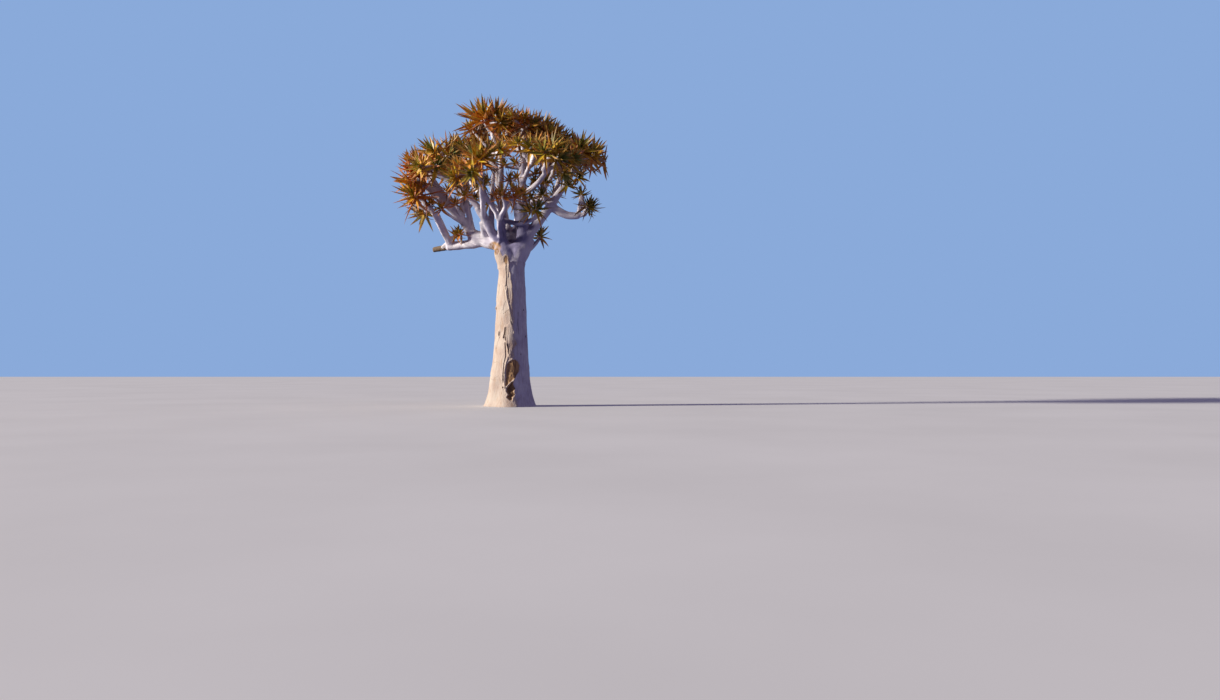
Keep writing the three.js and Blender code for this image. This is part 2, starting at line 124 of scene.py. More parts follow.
# Each bough leaves another limb at that share of its length, and then has its tip, bow and radii
BOUGHS = {
    "left_bough": ("left_lobe", 0.74, (-0.599, 0.21, 2.38), (0, 0), (0.098, 0.084)),
    "left_rising_bough": ("left_bough", 0.93, (-1.06, -0.1, 3.11), (-0.03, 0.03), (0.056, 0.034)),
    "left_thin_bough": ("left_rising_bough", 0.42, (-1.15, -0.16, 3.01), (0.02, -0.03), (0.034, 0.027)),
    "left_upright_bough": ("left_rising_bough", 0.18, (-0.69, 0.11, 2.99), (0.13, -0.02), (0.042, 0.03)),
    "left_low_bough": ("left_bough", 0.55, (-0.941, 0.26, 2.266), (0, -0.03), (0.064, 0.054)),
    "dead_stub": ("left_low_bough", 0.9, (-1.16, 0.38, 2.239), (0, 0), (0.038, 0.032)),
    "left_low_rising_bough": ("left_low_bough", 0.93, (-1.09, -0.16, 2.71), (-0.02, -0.02), (0.036, 0.027)),
    "left_centre_bough": ("left_lobe", 0.75, (-0.385, -0.12, 2.68), (0.06, -0.04), (0.074, 0.05)),
    "left_long_bough": ("left_centre_bough", 0.95, (-1, -0.25, 3.22), (-0.07, 0.08), (0.046, 0.03)),
    "left_front_bough": ("left_centre_bough", 0.9, (-0.35, -0.6, 3), (0.11, -0.06), (0.042, 0.03)),
    "centre_bough": ("left_lobe", 0.85, (-0.165, 0.06, 3.53), (-0.04, 0.03), (0.062, 0.032)),
    "centre_right_bough": ("right_lobe", 0.75, (0.16, -0.03, 3.62), (0.06, 0), (0.094, 0.03)),
    "fork_bough": ("centre_right_bough", 0.62, (0.275, -0.22, 3.36), (0.02, -0.02), (0.036, 0.028)),
    "right_front_bough": ("centre_right_bough", 0.5, (0.5, -0.48, 3.18), (0.09, -0.06), (0.042, 0.03)),
    "right_bough": ("right_lobe", 0.8, (0.865, -0.06, 3.28), (0.02, -0.03), (0.078, 0.036)),
    "right_upright_bough": ("right_bough", 0.5, (0.395, 0.08, 3.38), (0.06, -0.06), (0.05, 0.03)),
    "right_back_bough": ("right_bough", 0.55, (0.66, 0.35, 3.38), (0.04, -0.06), (0.038, 0.028)),
    "right_low_bough": ("right_bough", 0.5, (0.95, -0.08, 2.65), (0, -0.11), (0.039, 0.034)),
    "crossing_bough": ("centre_bough", 0.27, (0.36, -0.27, 2.61), (0, -0.17), (0.036, 0.028)),
    "front_bough": ("left_lobe", 0.9, (-0.14, -0.33, 2.57), (0.07, -0.04), (0.036, 0.032)),
    "right_spur": ("right_lobe", 0.3, (0.345, 0.2, 2.34), (0.04, -0.03), (0.038, 0.026)),
    "back_left_bough": ("back_lobe", 0.8, (-0.32, 0.8, 3.48), (0.09, -0.06), (0.066, 0.034)),
    "back_left_side_bough": ("back_left_bough", 0.45, (-0.74, 0.6, 3.37), (0.06, -0.06), (0.042, 0.029)),
    "back_right_bough": ("back_lobe", 0.75, (0.11, 0.85, 3.56), (0.09, -0.06), (0.066, 0.033)),
    "back_right_side_bough": ("back_right_bough", 0.4, (0.54, 0.65, 3.4), (0.06, -0.06), (0.042, 0.029)),
}

# Lesser limbs that stand among the boughs, in the same form
SIDE_LIMBS = {
    "left_inner_limb": ("left_bough", 0.94, (-0.64, 0.08, 2.89), (0, 0), (0.05, 0.034)),
    "left_middle_limb": ("left_rising_bough", 0.3, (-1.02, -0.1, 2.9), (0, 0), (0.046, 0.032)),
    "left_upper_limb": ("left_rising_bough", 0.36, (-1.13, -0.14, 3.075), (0, 0), (0.04, 0.028)),
    "left_low_limb": ("left_low_bough", 0.88, (-1.03, -0.14, 2.7), (0, 0), (0.036, 0.028)),
    "left_centre_foot": ("left_bough", 0.5, (-0.4, -0.1, 2.57), (0, 0), (0.058, 0.042)),
    "left_bough_swelling": ("left_lobe", 0.72, (-0.6, 0.19, 2.438), (0, 0), (0.088, 0.082)),
    "left_low_swelling": ("left_bough", 0.7, (-0.925, 0.25, 2.288), (0, -0.03), (0.052, 0.046)),
    "left_knuckle": ("left_centre_bough", 0.72, (-0.468, -0.15, 2.75), (-0.02, -0.02), (0.05, 0.038)),
    "centre_inner_limb": ("left_centre_bough", 0.5, (-0.27, 0.1, 3.325), (-0.03, 0.02), (0.044, 0.024)),
    "centre_cross_limb": ("centre_right_bough", 0.78, (-0.08, -0.1, 3.345), (0, -0.02), (0.024, 0.015)),
    "fork_inner_limb": ("right_lobe", 0.72, (0.015, -0.04, 2.9), (-0.02, 0), (0.048, 0.03)),
    "right_lobe_side": ("right_lobe", 0.05, (0.235, 0, 2.36), (0, 0), (0.13, 0.1)),
    "right_low_limb": ("right_bough", 0.54, (0.94, -0.08, 2.675), (0, -0.1), (0.034, 0.03)),
    "right_low_arm": ("right_low_bough", 0.97, (0.965, -0.06, 2.94), (0.01, 0), (0.03, 0.02)),
    "fork_web": ("left_lobe", 0.55, (0.15, -0.02, 2.26), (0, -0.03), (0.096, 0.09)),
}

# Each crown grows on from the tip of its bough: where it aims, how many heads stand round there, how far
# apart, how many degrees the first is turned round the stem, how long its leaves are against a full one,
# and how warm their colour is, from 0 for green to 1 for orange.
CROWNS = {
    "left_outer_crown": ("left_rising_bough", (-1.22, -0.04, 3.39), 4, 0.16, 0, 0.95, 0.58),
    "left_orange_crown": ("left_thin_bough", (-1.34, -0.26, 3.17), 2, 0.09, 90, 1, 0.92),
    "left_edge_crown": ("left_low_rising_bough", (-1.29, -0.24, 2.95), 2, 0.09, 60, 1, 0.72),
    "left_low_crown": ("left_low_rising_bough", (-1.23, -0.01, 2.7), 1, 0, 0, 0.7, 0.34),
    "left_shoulder_crown": ("left_long_bough", (-0.89, -0.33, 3.49), 3, 0.15, 30, 0.85, 0.4),
    "left_front_edge_crown": ("left_long_bough", (-1.05, -0.56, 3.26), 2, 0.11, 0, 0.8, 0.42),
    "left_inner_crown": ("left_upright_bough", (-0.64, 0.23, 3.66), 4, 0.17, 0, 0.85, 0.44),
    "golden_crown": ("left_front_bough", (-0.34, -0.73, 3.35), 3, 0.085, 40, 1, 0.56),
    "left_front_crown": ("left_front_bough", (-0.67, -0.69, 3.15), 2, 0.09, 60, 0.75, 0.5),
    "middle_green_crown": ("front_bough", (-0.37, -0.52, 3.03), 2, 0.05, 20, 0.55, 0.34),
    "middle_golden_crown": ("front_bough", (0.02, -0.5, 2.89), 2, 0.1, 0, 0.6, 0.8),
    "elbow_crown": ("left_low_bough", (-0.793, 0.1, 2.422), 1, 0, 0, 0.46, 0.48),
    "summit_crown": ("centre_bough", (-0.34, -0.02, 4.05), 4, 0.14, 30, 1.06, 0.58),
    "summit_back_crown": ("centre_bough", (-0.03, 0.25, 4.03), 3, 0.12, 60, 0.75, 0.56),
    "centre_small_crown": ("centre_bough", (-0.15, -0.18, 3.57), 1, 0, 0, 0.55, 0.56),
    "top_crown": ("centre_right_bough", (0.18, -0.06, 3.935), 4, 0.14, 0, 0.8, 0.62),
    "top_back_crown": ("centre_right_bough", (0.4, 0.27, 3.955), 3, 0.13, 30, 0.78, 0.58),
    "fork_crown": ("fork_bough", (0.39, -0.37, 3.56), 3, 0.12, 0, 0.75, 0.44),
    "fork_small_crown": ("fork_bough", (0.08, -0.35, 3.61), 2, 0.07, 0, 0.5, 0.5),
    "hanging_crown": ("crossing_bough", (0.33, -0.37, 2.7), 2, 0.07, 0, 0.6, 0.26),
    "right_front_crown": ("right_front_bough", (0.61, -0.66, 3.43), 3, 0.13, 0, 0.82, 0.26),
    "right_inner_crown": ("right_front_bough", (0.79, -0.43, 3.43), 2, 0.12, 60, 0.82, 0.3),
    "right_outer_crown": ("right_bough", (1.05, -0.1, 3.55), 4, 0.13, 30, 0.88, 0.56),
    "right_shoulder_crown": ("right_bough", (0.88, 0.13, 3.57), 2, 0.11, 0, 0.82, 0.46),
    "right_upright_crown": ("right_upright_bough", (0.49, 0, 3.82), 3, 0.12, 60, 0.85, 0.56),
    "right_top_back_crown": ("right_upright_bough", (0.6, 0.37, 3.82), 3, 0.13, 0, 0.85, 0.44),
    "right_back_crown": ("right_back_bough", (0.96, 0.46, 3.65), 3, 0.14, 0, 0.85, 0.34),
    "right_low_inner_crown": ("right_low_bough", (0.975, -0.05, 2.975), 1, 0, 0, 0.45, 0.14),
    "right_low_outer_crown": ("right_low_bough", (1.08, -0.13, 2.81), 1, 0, 0, 0.52, 0.16),
    "spur_crown": ("right_spur", (0.375, 0.24, 2.43), 1, 0, 0, 0.55, 0.2),
    "back_left_crown": ("back_left_bough", (-0.48, 0.82, 3.83), 4, 0.18, 0, 0.9, 0.42),
    "back_left_side_crown": ("back_left_side_bough", (-0.9, 0.64, 3.59), 4, 0.18, 30, 0.9, 0.56),
    "back_right_crown": ("back_right_bough", (0.22, 0.85, 3.93), 4, 0.18, 60, 0.9, 0.5),
    "back_right_side_crown": ("back_right_side_bough", (0.64, 0.86, 3.68), 4, 0.18, 0, 0.9, 0.38),
}


def mix(first, second, share):
    return first + (second - first) * share


def eased(low, high, value):
    """0 below low, 1 above high, and a smooth rise between them."""
    share = np.clip((value - low) / (high - low), 0, 1)
    return share * share * (3 - 2 * share)


def hump(away, width):
    """1 in the middle and smoothly falling to almost nothing at twice the width."""
    return np.exp(-((away / width) ** 2))


def turned_from(turn, other):
    """How many degrees one turn is to the right of another, from -180 to 180."""
    return (turn - other + 180) % 360 - 180


def beside(axis):
    """A direction square to an axis."""
    return axis.cross(Vector((0.3, 1, 0.2))).normalized()


def seeded_draws(seed):
    """The source's draws, from 0 to 1, so that the heads stand where its heads do."""
    state = seed
    while True:
        state = state * 16807 % 2147483647
        yield state / 2147483647


def rough(points, size, seed=0):
    """Soft noise from -1 to 1 at each point, with features of about that size."""
    shift = Vector((seed * 7.3, seed * 3.1, seed * 5.7))
    return np.array([noise.noise(Vector(point) / size + shift) for point in points])


# Paths: rows of points, evenly spaced

POINT_SPACING = 0.022
CURVE_STEPS = 200
STRETCH_STEPS = 24
MOST_BEND = 0.013
BEND_SIZE = 0.16
KNUCKLE_SIZE = 0.07
KNUCKLE_RISE = 0.05


def evenly(curve):
    """The same curve with its points evenly spaced."""
    steps = np.linalg.norm(np.diff(curve, axis=0), axis=1)
    reached = np.concatenate([[0], np.cumsum(steps)])
    count = max(4, round(reached[-1] / POINT_SPACING))
    places = np.linspace(0, reached[-1], count + 1)
    return np.stack([np.interp(places, reached, curve[:, axis]) for axis in range(3)], axis=1)


def point_at(path, share):
    place = share * (len(path) - 1)
    first = min(int(place), len(path) - 2)
    return Vector(mix(path[first], path[first + 1], place - first))


def heading_at_end(path):
    return Vector(path[-1] - path[-2]).normalized()


def bowed_path(foot, tip, bow):
    heading = Vector((tip.x - foot.x, tip.y - foot.y, 0)).normalized()
    middle = (foot + tip) / 2 + heading * bow[0] + UP * bow[1]
    shares = np.linspace(0, 1, CURVE_STEPS)[:, None]
    curve = (1 - shares) ** 2 * np.array(foot)
    curve = curve + 2 * shares * (1 - shares) * np.array(middle) + shares**2 * np.array(tip)
    return evenly(curve)


def smooth_path(points):
    """A curve through the points, that turns gently at each."""
    points = [np.array(point) for point in points]
    before = points[0] * 2 - points[1]
    after = points[-1] * 2 - points[-2]
    padded = [before, *points, after]
    shares = np.linspace(0, 1, STRETCH_STEPS, endpoint=False)[:, None]
    stretches = []
    for a, b, c, d in zip(padded, padded[1:], padded[2:], padded[3:]):
        leave, arrive = (c - a) / 2, (d - b) / 2
        cubic = (2 * b - 2 * c + leave + arrive) * shares**3
        square = (-3 * b + 3 * c - 2 * leave - arrive) * shares**2
        stretches.append(cubic + square + leave * shares + b)
    return evenly(np.concatenate([*stretches, points[-1][None]]))


def knobbly(path, radii, seed):
    """The same limb with small bends and knuckles, as succulent wood has."""
    shares = np.linspace(0, 1, len(path))
    room = np.sin(np.pi * shares)[:, None] * min(radii.mean() * 0.3, MOST_BEND)
    bends = np.stack([rough(path, BEND_SIZE, seed + axis) for axis in range(3)], axis=1)
    knuckles = 1 + KNUCKLE_RISE * rough(path, KNUCKLE_SIZE, seed + 5)
    return path + bends * room, radii * knuckles


# Limbs, by the source's rule


def limb_radii(path, radius):
    shares = np.linspace(0, 1, len(path))
    swelling = 1 + BOUGH_SWELL * np.maximum(0, 1 - shares * SWELL_FALL) ** 2
    return mix(radius[0], radius[1], shares) * swelling


def lay_out_limbs():
    """The path and radii of every lobe and bough."""
    limbs = {}
    for name, (foot, tip, bow, radius) in LOBES.items():
        path = bowed_path(Vector(foot), Vector(tip), bow)
        rounding = 1 - LOBE_ROUNDING * eased(0.45, 1, np.linspace(0, 1, len(path)))
        limbs[name] = (path, limb_radii(path, radius) * rounding)
    for name, (parent, share, tip, bow, radius) in {**BOUGHS, **SIDE_LIMBS}.items():
        path = bowed_path(point_at(limbs[parent][0], share), Vector(tip), bow)
        limbs[name] = (path, limb_radii(path, radius))
    return limbs


def twig_radius(heads):
    return TWIG_RADIUS * heads**TWIG_POWER


def place_heads(aim, heads, spread, turn, foot, draws):
    """Where the heads of a crown stand: round its aim, across the stem."""
    stem = (aim - foot).normalized()
    side = stem.cross(UP).normalized()
    rise = side.cross(stem)
    places = []
    for i in range(heads):
        angle = math.radians(turn) + i * math.tau / heads
        across = side * math.cos(angle) + rise * math.sin(angle)
        along = (next(draws) - 0.5) * 2 * HEAD_JITTER
        places.append(aim + across * spread + stem * along * spread)
    return places


def grow_twig(foot, heads, direction, twigs, ends):
    """Adds a twig that runs from its foot to its own head. At each fork half of the heads left go to a twig
    of their own."""
    path, radii, left = [foot], [twig_radius(len(heads))], heads
    while len(left) > 1:
        middle = sum(left, Vector()) / len(left)
        fork = path[-1].lerp(middle, FORK_SHARE)
        kept = left[: math.ceil(len(left) / 2)]
        grow_twig(fork, left[len(kept):], (fork - path[-1]).normalized(), twigs, ends)
        path.append(fork)
        radii.append(twig_radius(len(kept) + 0.5))
        left = kept
    first = path[1] if len(path) > 1 else left[0]
    path.insert(1, foot + direction * (foot - first).length * TWIG_LEAD)
    radii.insert(1, radii[0])
    curve = smooth_path([*path, left[0]])
    places = np.linspace(0, len(radii), len(curve))
    twigs.append((curve, np.interp(places, range(len(radii) + 1), [*radii, TWIG_RADIUS])))
    axis = heading_at_end(curve).lerp(UP, 1 - HEAD_RISE).normalized()
    ends.append((left[0], axis, curve))


def stem_foot(limb, bough, aim, heads, direction):
    """The foot of a crown's stem on the tip of its bough. Two stems on one tip stand side by side."""
    foot = Vector(limb[0][-1]) + direction * CLEAR_OF_TIP
    if sum(crown[0] == bough for crown in CROWNS.values()) == 1:
        return foot
    leaning = aim - foot
    sideways = (leaning - direction * leaning.dot(direction)).normalized()
    return foot + sideways * twig_radius(heads)


# Lone shoots: the limb that each leaves and at what share of it, where its head stands, how long its leaves
# are against full ones and how warm their colour is
SHOOTS = (
    ("left_rising_bough", 0.25, (-0.97, -0.18, 2.754), 0.42, 0.66),
    ("left_upright_bough", 0.35, (-0.77, -0.12, 2.83), 0.4, 0.8),
    ("centre_right_bough", 0.42, (0.18, -0.33, 2.93), 0.42, 0.55),
    ("centre_right_bough", 0.55, (0.29, 0.1, 3.08), 0.42, 0.15),
    ("left_long_bough", 0.45, (-0.693, -0.35, 3.04), 0.42, 0.45),
    ("left_long_bough", 0.35, (-0.61, -0.3, 2.905), 0.36, 0.7),
    ("left_inner_limb", 1.0, (-0.62, 0, 3), 0.46, 0.55),
    ("left_inner_limb", 0.8, (-0.52, 0.06, 2.93), 0.38, 0.3),
    ("centre_inner_limb", 0.7, (-0.35, 0.02, 3.17), 0.42, 0.4),
    ("centre_inner_limb", 0.5, (-0.225, -0.05, 2.96), 0.4, 0.75),
    ("centre_inner_limb", 0.45, (-0.34, 0, 2.86), 0.36, 0.35),
    ("centre_bough", 0.55, (-0.022, -0.12, 3.168), 0.44, 0.6),
    ("centre_cross_limb", 0.95, (-0.09, -0.11, 3.37), 0.36, 0.4),
    ("centre_right_bough", 0.8, (0.058, -0.1, 3.4), 0.38, 0.5),
    ("centre_right_bough", 0.6, (0.075, -0.08, 3.2), 0.36, 0.45),
    ("centre_right_bough", 0.38, (0.275, -0.2, 2.9), 0.38, 0.35),
    ("right_upright_bough", 0.35, (0.33, -0.05, 3.14), 0.4, 0.4),
    ("centre_right_bough", 0.45, (0.04, -0.2, 3.02), 0.42, 0.6),
    ("centre_right_bough", 0.7, (0.33, 0.05, 3.28), 0.42, 0.4),
    ("right_bough", 0.48, (0.441, -0.2, 2.945), 0.4, 0.3),
    ("right_upright_bough", 0.5, (0.49, -0.1, 3.13), 0.38, 0.35),
    ("right_bough", 0.85, (0.79, -0.18, 3.08), 0.45, 0.2),
    ("right_bough", 0.98, (0.95, -0.13, 3.2), 0.5, 0.3),
    ("right_low_bough", 1.0, (1.125, -0.11, 2.79), 0.52, 0.12),
    ("right_low_bough", 0.95, (1.085, -0.12, 2.715), 0.34, 0.2),
    ("left_rising_bough", 0.45, (-0.865, -0.15, 2.997), 0.44, 0.62),
    ("left_low_rising_bough", 0.9, (-1.1, -0.2, 2.83), 0.4, 0.6),
    ("centre_bough", 0.95, (-0.6, 0.08, 3.93), 0.55, 0.5),
    ("left_low_bough", 0.6, (-0.745, 0.05, 2.44), 0.42, 0.55),
    ("left_rising_bough", 0.98, (-1.41, -0.15, 3.42), 0.55, 0.8),
    ("left_low_rising_bough", 1.0, (-1.37, -0.15, 2.83), 0.5, 0.8),
    ("left_upright_bough", 1.0, (-0.82, 0.12, 3.69), 0.68, 0.5),
    ("back_left_bough", 0.45, (-0.1, 0.72, 3), 0.55, 0.4),
    ("back_right_bough", 0.5, (0.33, 0.62, 2.98), 0.55, 0.45),
    ("back_left_side_bough", 0.5, (-0.74, 0.3, 3.02), 0.5, 0.6),
    ("back_right_side_bough", 0.4, (0.58, 0.33, 3.05), 0.5, 0.3),
)
SHOOT_TWIG = (0.024, 0.014)
SHOOT_UPRIGHT = 0.4
SAG = 0.02

# Finer twigs: some of the source's heads with full leaves have a side head on a twig of its own, which leaves
# their twig between these shares of its length
SIDE_CHANCE = 0.35
SIDE_FROM = (0.55, 0.72)
SIDE_REACH = 0.24
SIDE_DROP = 0.1
SIDE_LEAN = 0.35
SIDE_UPRIGHT = 0.25
SIDE_LEAVES = 0.72
SIDE_BEND_AT = 0.45
SIDE_TWIG = (0.0165, 0.0135)
FULL_LEAVES = 0.7


# Each crown's number, times the first and plus the second, seeds its draws
HEAD_SEEDS = (97, 11)
SIDE_SEEDS = (31, 5)


def seed_of(index, numbers):
    times, plus = numbers
    return index * times + plus


def side_growth(point, axis, curve, rng):
    """The side twig of a head, the head that it ends in and the way that this one points."""
    turn = rng.uniform(0, math.tau) + rng.uniform(-0.4, 0.4)
    outwards = Quaternion(axis, turn) @ beside(axis)
    foot = point_at(curve, rng.uniform(*SIDE_FROM))
    out = outwards * SIDE_REACH * rng.uniform(0.85, 1.15)
    down = axis * SIDE_DROP * rng.uniform(0.3, 1)
    head = point + out - down
    path = smooth_path([foot, foot.lerp(head, SIDE_BEND_AT) - outwards * SAG, head])
    return path, head, (heading_at_end(path) + outwards * SIDE_LEAN).lerp(UP, SIDE_UPRIGHT).normalized()


def grow_crowns(limbs):
    """The stems and fine twigs of every crown, and its heads: where each is, the way it points, how long its
    leaves are and how warm their colour is."""
    stems, fine_twigs, heads = [], [], []
    for index, (bough, aim, count, spread, turn, leaf, warmth) in enumerate(CROWNS.values()):
        draws = seeded_draws(seed_of(index, HEAD_SEEDS))
        rng = random.Random(seed_of(index, SIDE_SEEDS))
        direction = heading_at_end(limbs[bough][0])
        foot = stem_foot(limbs[bough], bough, Vector(aim), count, direction)
        ends = []
        places = place_heads(Vector(aim), count, spread, turn, foot, draws)
        grow_twig(foot, places, direction, stems, ends)
        for point, axis, curve in ends:
            heads.append((point, axis, leaf, warmth + rng.uniform(-0.1, 0.1)))
            if leaf < FULL_LEAVES or rng.random() > SIDE_CHANCE:
                continue
            path, head, lean = side_growth(point, axis, curve, rng)
            fine_twigs.append((path, np.linspace(*SIDE_TWIG, len(path))))
            heads.append((head, lean, leaf * SIDE_LEAVES, warmth + rng.uniform(-0.16, 0.12)))
    for limb, share, head, leaf, warmth in SHOOTS:
        foot, head = point_at(limbs[limb][0], share), Vector(head)
        path = smooth_path([foot, foot.lerp(head, 0.5) - UP * SAG, head])
        fine_twigs.append((path, np.linspace(*SHOOT_TWIG, len(path))))
        heads.append((head, heading_at_end(path).lerp(UP, SHOOT_UPRIGHT).normalized(), leaf, warmth))
    return stems, fine_twigs, heads


# Node trees


def new_tree(name, sizes):
    """A tree of geometry nodes with these named inputs. sizes has a socket type for each name."""
    tree = bpy.data.node_groups.new(name, "GeometryNodeTree")
    tree.interface.new_socket("Geometry", in_out="INPUT", socket_type="NodeSocketGeometry")
    tree.interface.new_socket("Geometry", in_out="OUTPUT", socket_type="NodeSocketGeometry")
    for label, kind in sizes.items():
        tree.interface.new_socket(label, in_out="INPUT", socket_type=f"NodeSocket{kind}")
    return tree, tree.nodes.new("NodeGroupInput"), tree.nodes.new("NodeGroupOutput")


def feed(tree, socket, given):
    """Gives an input its value, or links it to the output that it comes from."""
    if isinstance(given, bpy.types.NodeSocket):
        tree.links.new(given, socket)
    else:
        socket.default_value = given


def add(tree, kind, **given):
    """A new node. Each keyword names an input, with underscores for spaces, and gives its value or link."""
    node = tree.nodes.new(kind)
    for label, source in given.items():
        feed(tree, node.inputs[label.replace("_", " ")], source)
    return node


def add_math(tree, how, first, second):
    node = tree.nodes.new("ShaderNodeMath")
    node.operation = how
    feed(tree, node.inputs[0], first)
    feed(tree, node.inputs[1], second)
    return node.outputs[0]


def apply_tree(thing, tree, **given):
    """Puts the tree on the object with these inputs, and returns the result as a plain mesh."""
    modifier = thing.modifiers.new(tree.name, "NODES")
    modifier.node_group = tree
    for item in tree.interface.items_tree:
        label = item.name.replace(" ", "_")
        if item.in_out == "INPUT" and label in given:
            modifier[item.identifier] = given[label]
    return evaluated_mesh(thing)


def evaluated_mesh(thing):
    """What an object looks like with its modifiers, as a mesh of its own. The object is removed."""
    graph = bpy.context.evaluated_depsgraph_get()
    mesh = bpy.data.meshes.new_from_object(thing.evaluated_get(graph), depsgraph=graph)
    bpy.data.objects.remove(thing)
    return mesh


def show(name, mesh):
    thing = bpy.data.objects.new(name, mesh)
    bpy.context.scene.collection.objects.link(thing)
    return thing


def limb_tree():
    """Round closed limbs along curves, each as thick as its curve's radius says."""
    tree, given, result = new_tree("round limbs", {"Sides": "Int", "Bark": "Material"})
    rim = add(tree, "GeometryNodeCurvePrimitiveCircle", Resolution=given.outputs["Sides"])
    rim.mode = "RADIUS"
    thickness = add(tree, "GeometryNodeInputRadius")
    limbs = add(
        tree, "GeometryNodeCurveToMesh", Curve=given.outputs["Geometry"],
        Profile_Curve=rim.outputs["Curve"], Scale=thickness.outputs[0], Fill_Caps=True)
    whole = add(tree, "GeometryNodeRealizeInstances", Geometry=limbs.outputs[0])
    dressed = add(
        tree, "GeometryNodeSetMaterial", Geometry=whole.outputs[0], Material=given.outputs["Bark"])
    tree.links.new(dressed.outputs[0], result.inputs[0])
    return tree


def limb_mesh(limbs, sides, bark):
    """One mesh of all these limbs."""
    curves = bpy.data.curves.new("limbs", "CURVE")
    curves.dimensions = "3D"
    for path, radii in limbs:
        line = curves.splines.new("POLY")
        line.points.add(len(path) - 1)
        line.points.foreach_set("co", np.insert(path, 3, 1, axis=1).ravel())
        line.points.foreach_set("radius", radii)
    return apply_tree(show("limbs", curves), limb_tree(), Sides=sides, Bark=bark)


# Numbers of a mesh


def numbers_of(items, name, width, kind=float):
    """One row of numbers for each item, such as the place of each point."""
    flat = np.empty(len(items) * width, kind)
    items.foreach_get(name, flat)
    return flat.reshape(-1, width)


def points_of(mesh):
    return numbers_of(mesh.vertices, "co", 3)


def normals_of(mesh):
    return numbers_of(mesh.vertices, "normal", 3)


def edges_of(mesh):
    return numbers_of(mesh.edges, "vertices", 2, np.int32)


def move_points(mesh, points):
    mesh.vertices.foreach_set("co", points.ravel())
    mesh.update()


def paint(mesh, name, values):
    """Keeps a number from 0 to 1 at each point, for the bark's finish to read."""
    layer = mesh.attributes.new(name, "FLOAT", "POINT")
    layer.data.foreach_set("value", np.clip(values, 0, 1).astype(np.float32))


def neighbour_mean(points, edges):
    total = np.zeros_like(points)
    count = np.bincount(edges.ravel(), minlength=len(points))[:, None]
    for axis in range(3):
        total[:, axis] += np.bincount(edges[:, 0], points[edges[:, 1], axis], len(points))
        total[:, axis] += np.bincount(edges[:, 1], points[edges[:, 0], axis], len(points))
    return total / np.maximum(count, 1)


def closed_tube(name, rings, foot, tip, skin):
    """A smooth mesh over rings of points, closed round one point below them and one beyond them."""
    sides = len(rings[0])
    points = [*np.concatenate(rings), foot, tip]
    last = len(points) - 2 - sides
    faces = []
    for first in range(0, last, sides):
        for spot in range(sides):
            after = (spot + 1) % sides
            faces.append((first + spot, first + after, first + sides + after, first + sides + spot))
    for spot in range(sides):
        after = (spot + 1) % sides
        faces.append((after, spot, len(points) - 2))
        faces.append((last + spot, last + after, len(points) - 1))
    mesh = bpy.data.meshes.new(name)
    mesh.from_pydata(points, [], faces)
    mesh.materials.append(skin)
    mesh.shade_smooth()
    return mesh


# Trunk


def trunk_girth(height):
    """The trunk's radius before its lobes, up to its shoulder."""
    below = mix(FOOT_RADIUS, NECK_RADIUS, np.clip(height / NECK_HEIGHT, 0, 1) ** TAPER_POWER)
    flare = FLARE_RADIUS * np.exp(-height / FLARE_FADE)
    above = mix(NECK_RADIUS, SHOULDER_RADIUS, eased(NECK_HEIGHT, SHOULDER_HEIGHT, height))
    return np.where(height < NECK_HEIGHT, below + flare, above)


def lobe_swell(angle, height):
    swell = 0
    for count, depth, turn, fade in TRUNK_LOBES:
        swell = swell + depth * np.cos(count * angle + turn) * np.exp(-height / fade)
    return swell


# The bark's features are placed by height and by turn, in degrees round the trunk from the side that the
# photograph shows, with positive turns to the right.
PHOTO_SIDE = -84
TRUNK_COLUMNS = 300
TRUNK_ROWS = 318
NECK_FOLLOWS_FROM = 1.6

# The peach outer bark ends on the right of the trunk's front along this line, and again behind
OUTER_EDGE_HEIGHTS = (0, 0.2, 0.34, 0.5, 0.67, 0.78, 0.86, 0.92, 1.12, 1.33, 1.54, 1.75, 1.86, 2.02, 2.1)
OUTER_EDGE_TURNS = (10, 9, 5, 8, 6, 6, 16, 11, 8, 4, 5, 2, -5, -13, -16)
OUTER_EDGE_BEHIND = 168
OUTER_THICKNESS = 0.008

# How high the trunk's own bark reaches round the neck: it climbs under the left bough
TOP_TURNS = (-180, -120, -95, -80, -62, -52, -44, -30, -16, -8, 10, 60, 120, 180)
TOP_HEIGHTS = (2, 2.02, 2.1, 2.19, 2.2, 2.14, 2.085, 2.095, 2.07, 2.01, 2, 2, 1.98, 2)

# Tongues of bark that have come loose: turn, top, foot, half width, how far the foot stands out
TONGUES = (
    (-5, 1.18, 0.67, 0.062, 0.02),
    (-38, 1.7, 1.33, 0.08, 0.005),
    (-66, 1.24, 0.8, 0.085, 0.006),
    (-27, 0.74, 0.36, 0.05, 0.01),
    (-28, 2.08, 1.66, 0.06, 0.008),
    (-80, 1.8, 1.45, 0.07, 0.006),
)

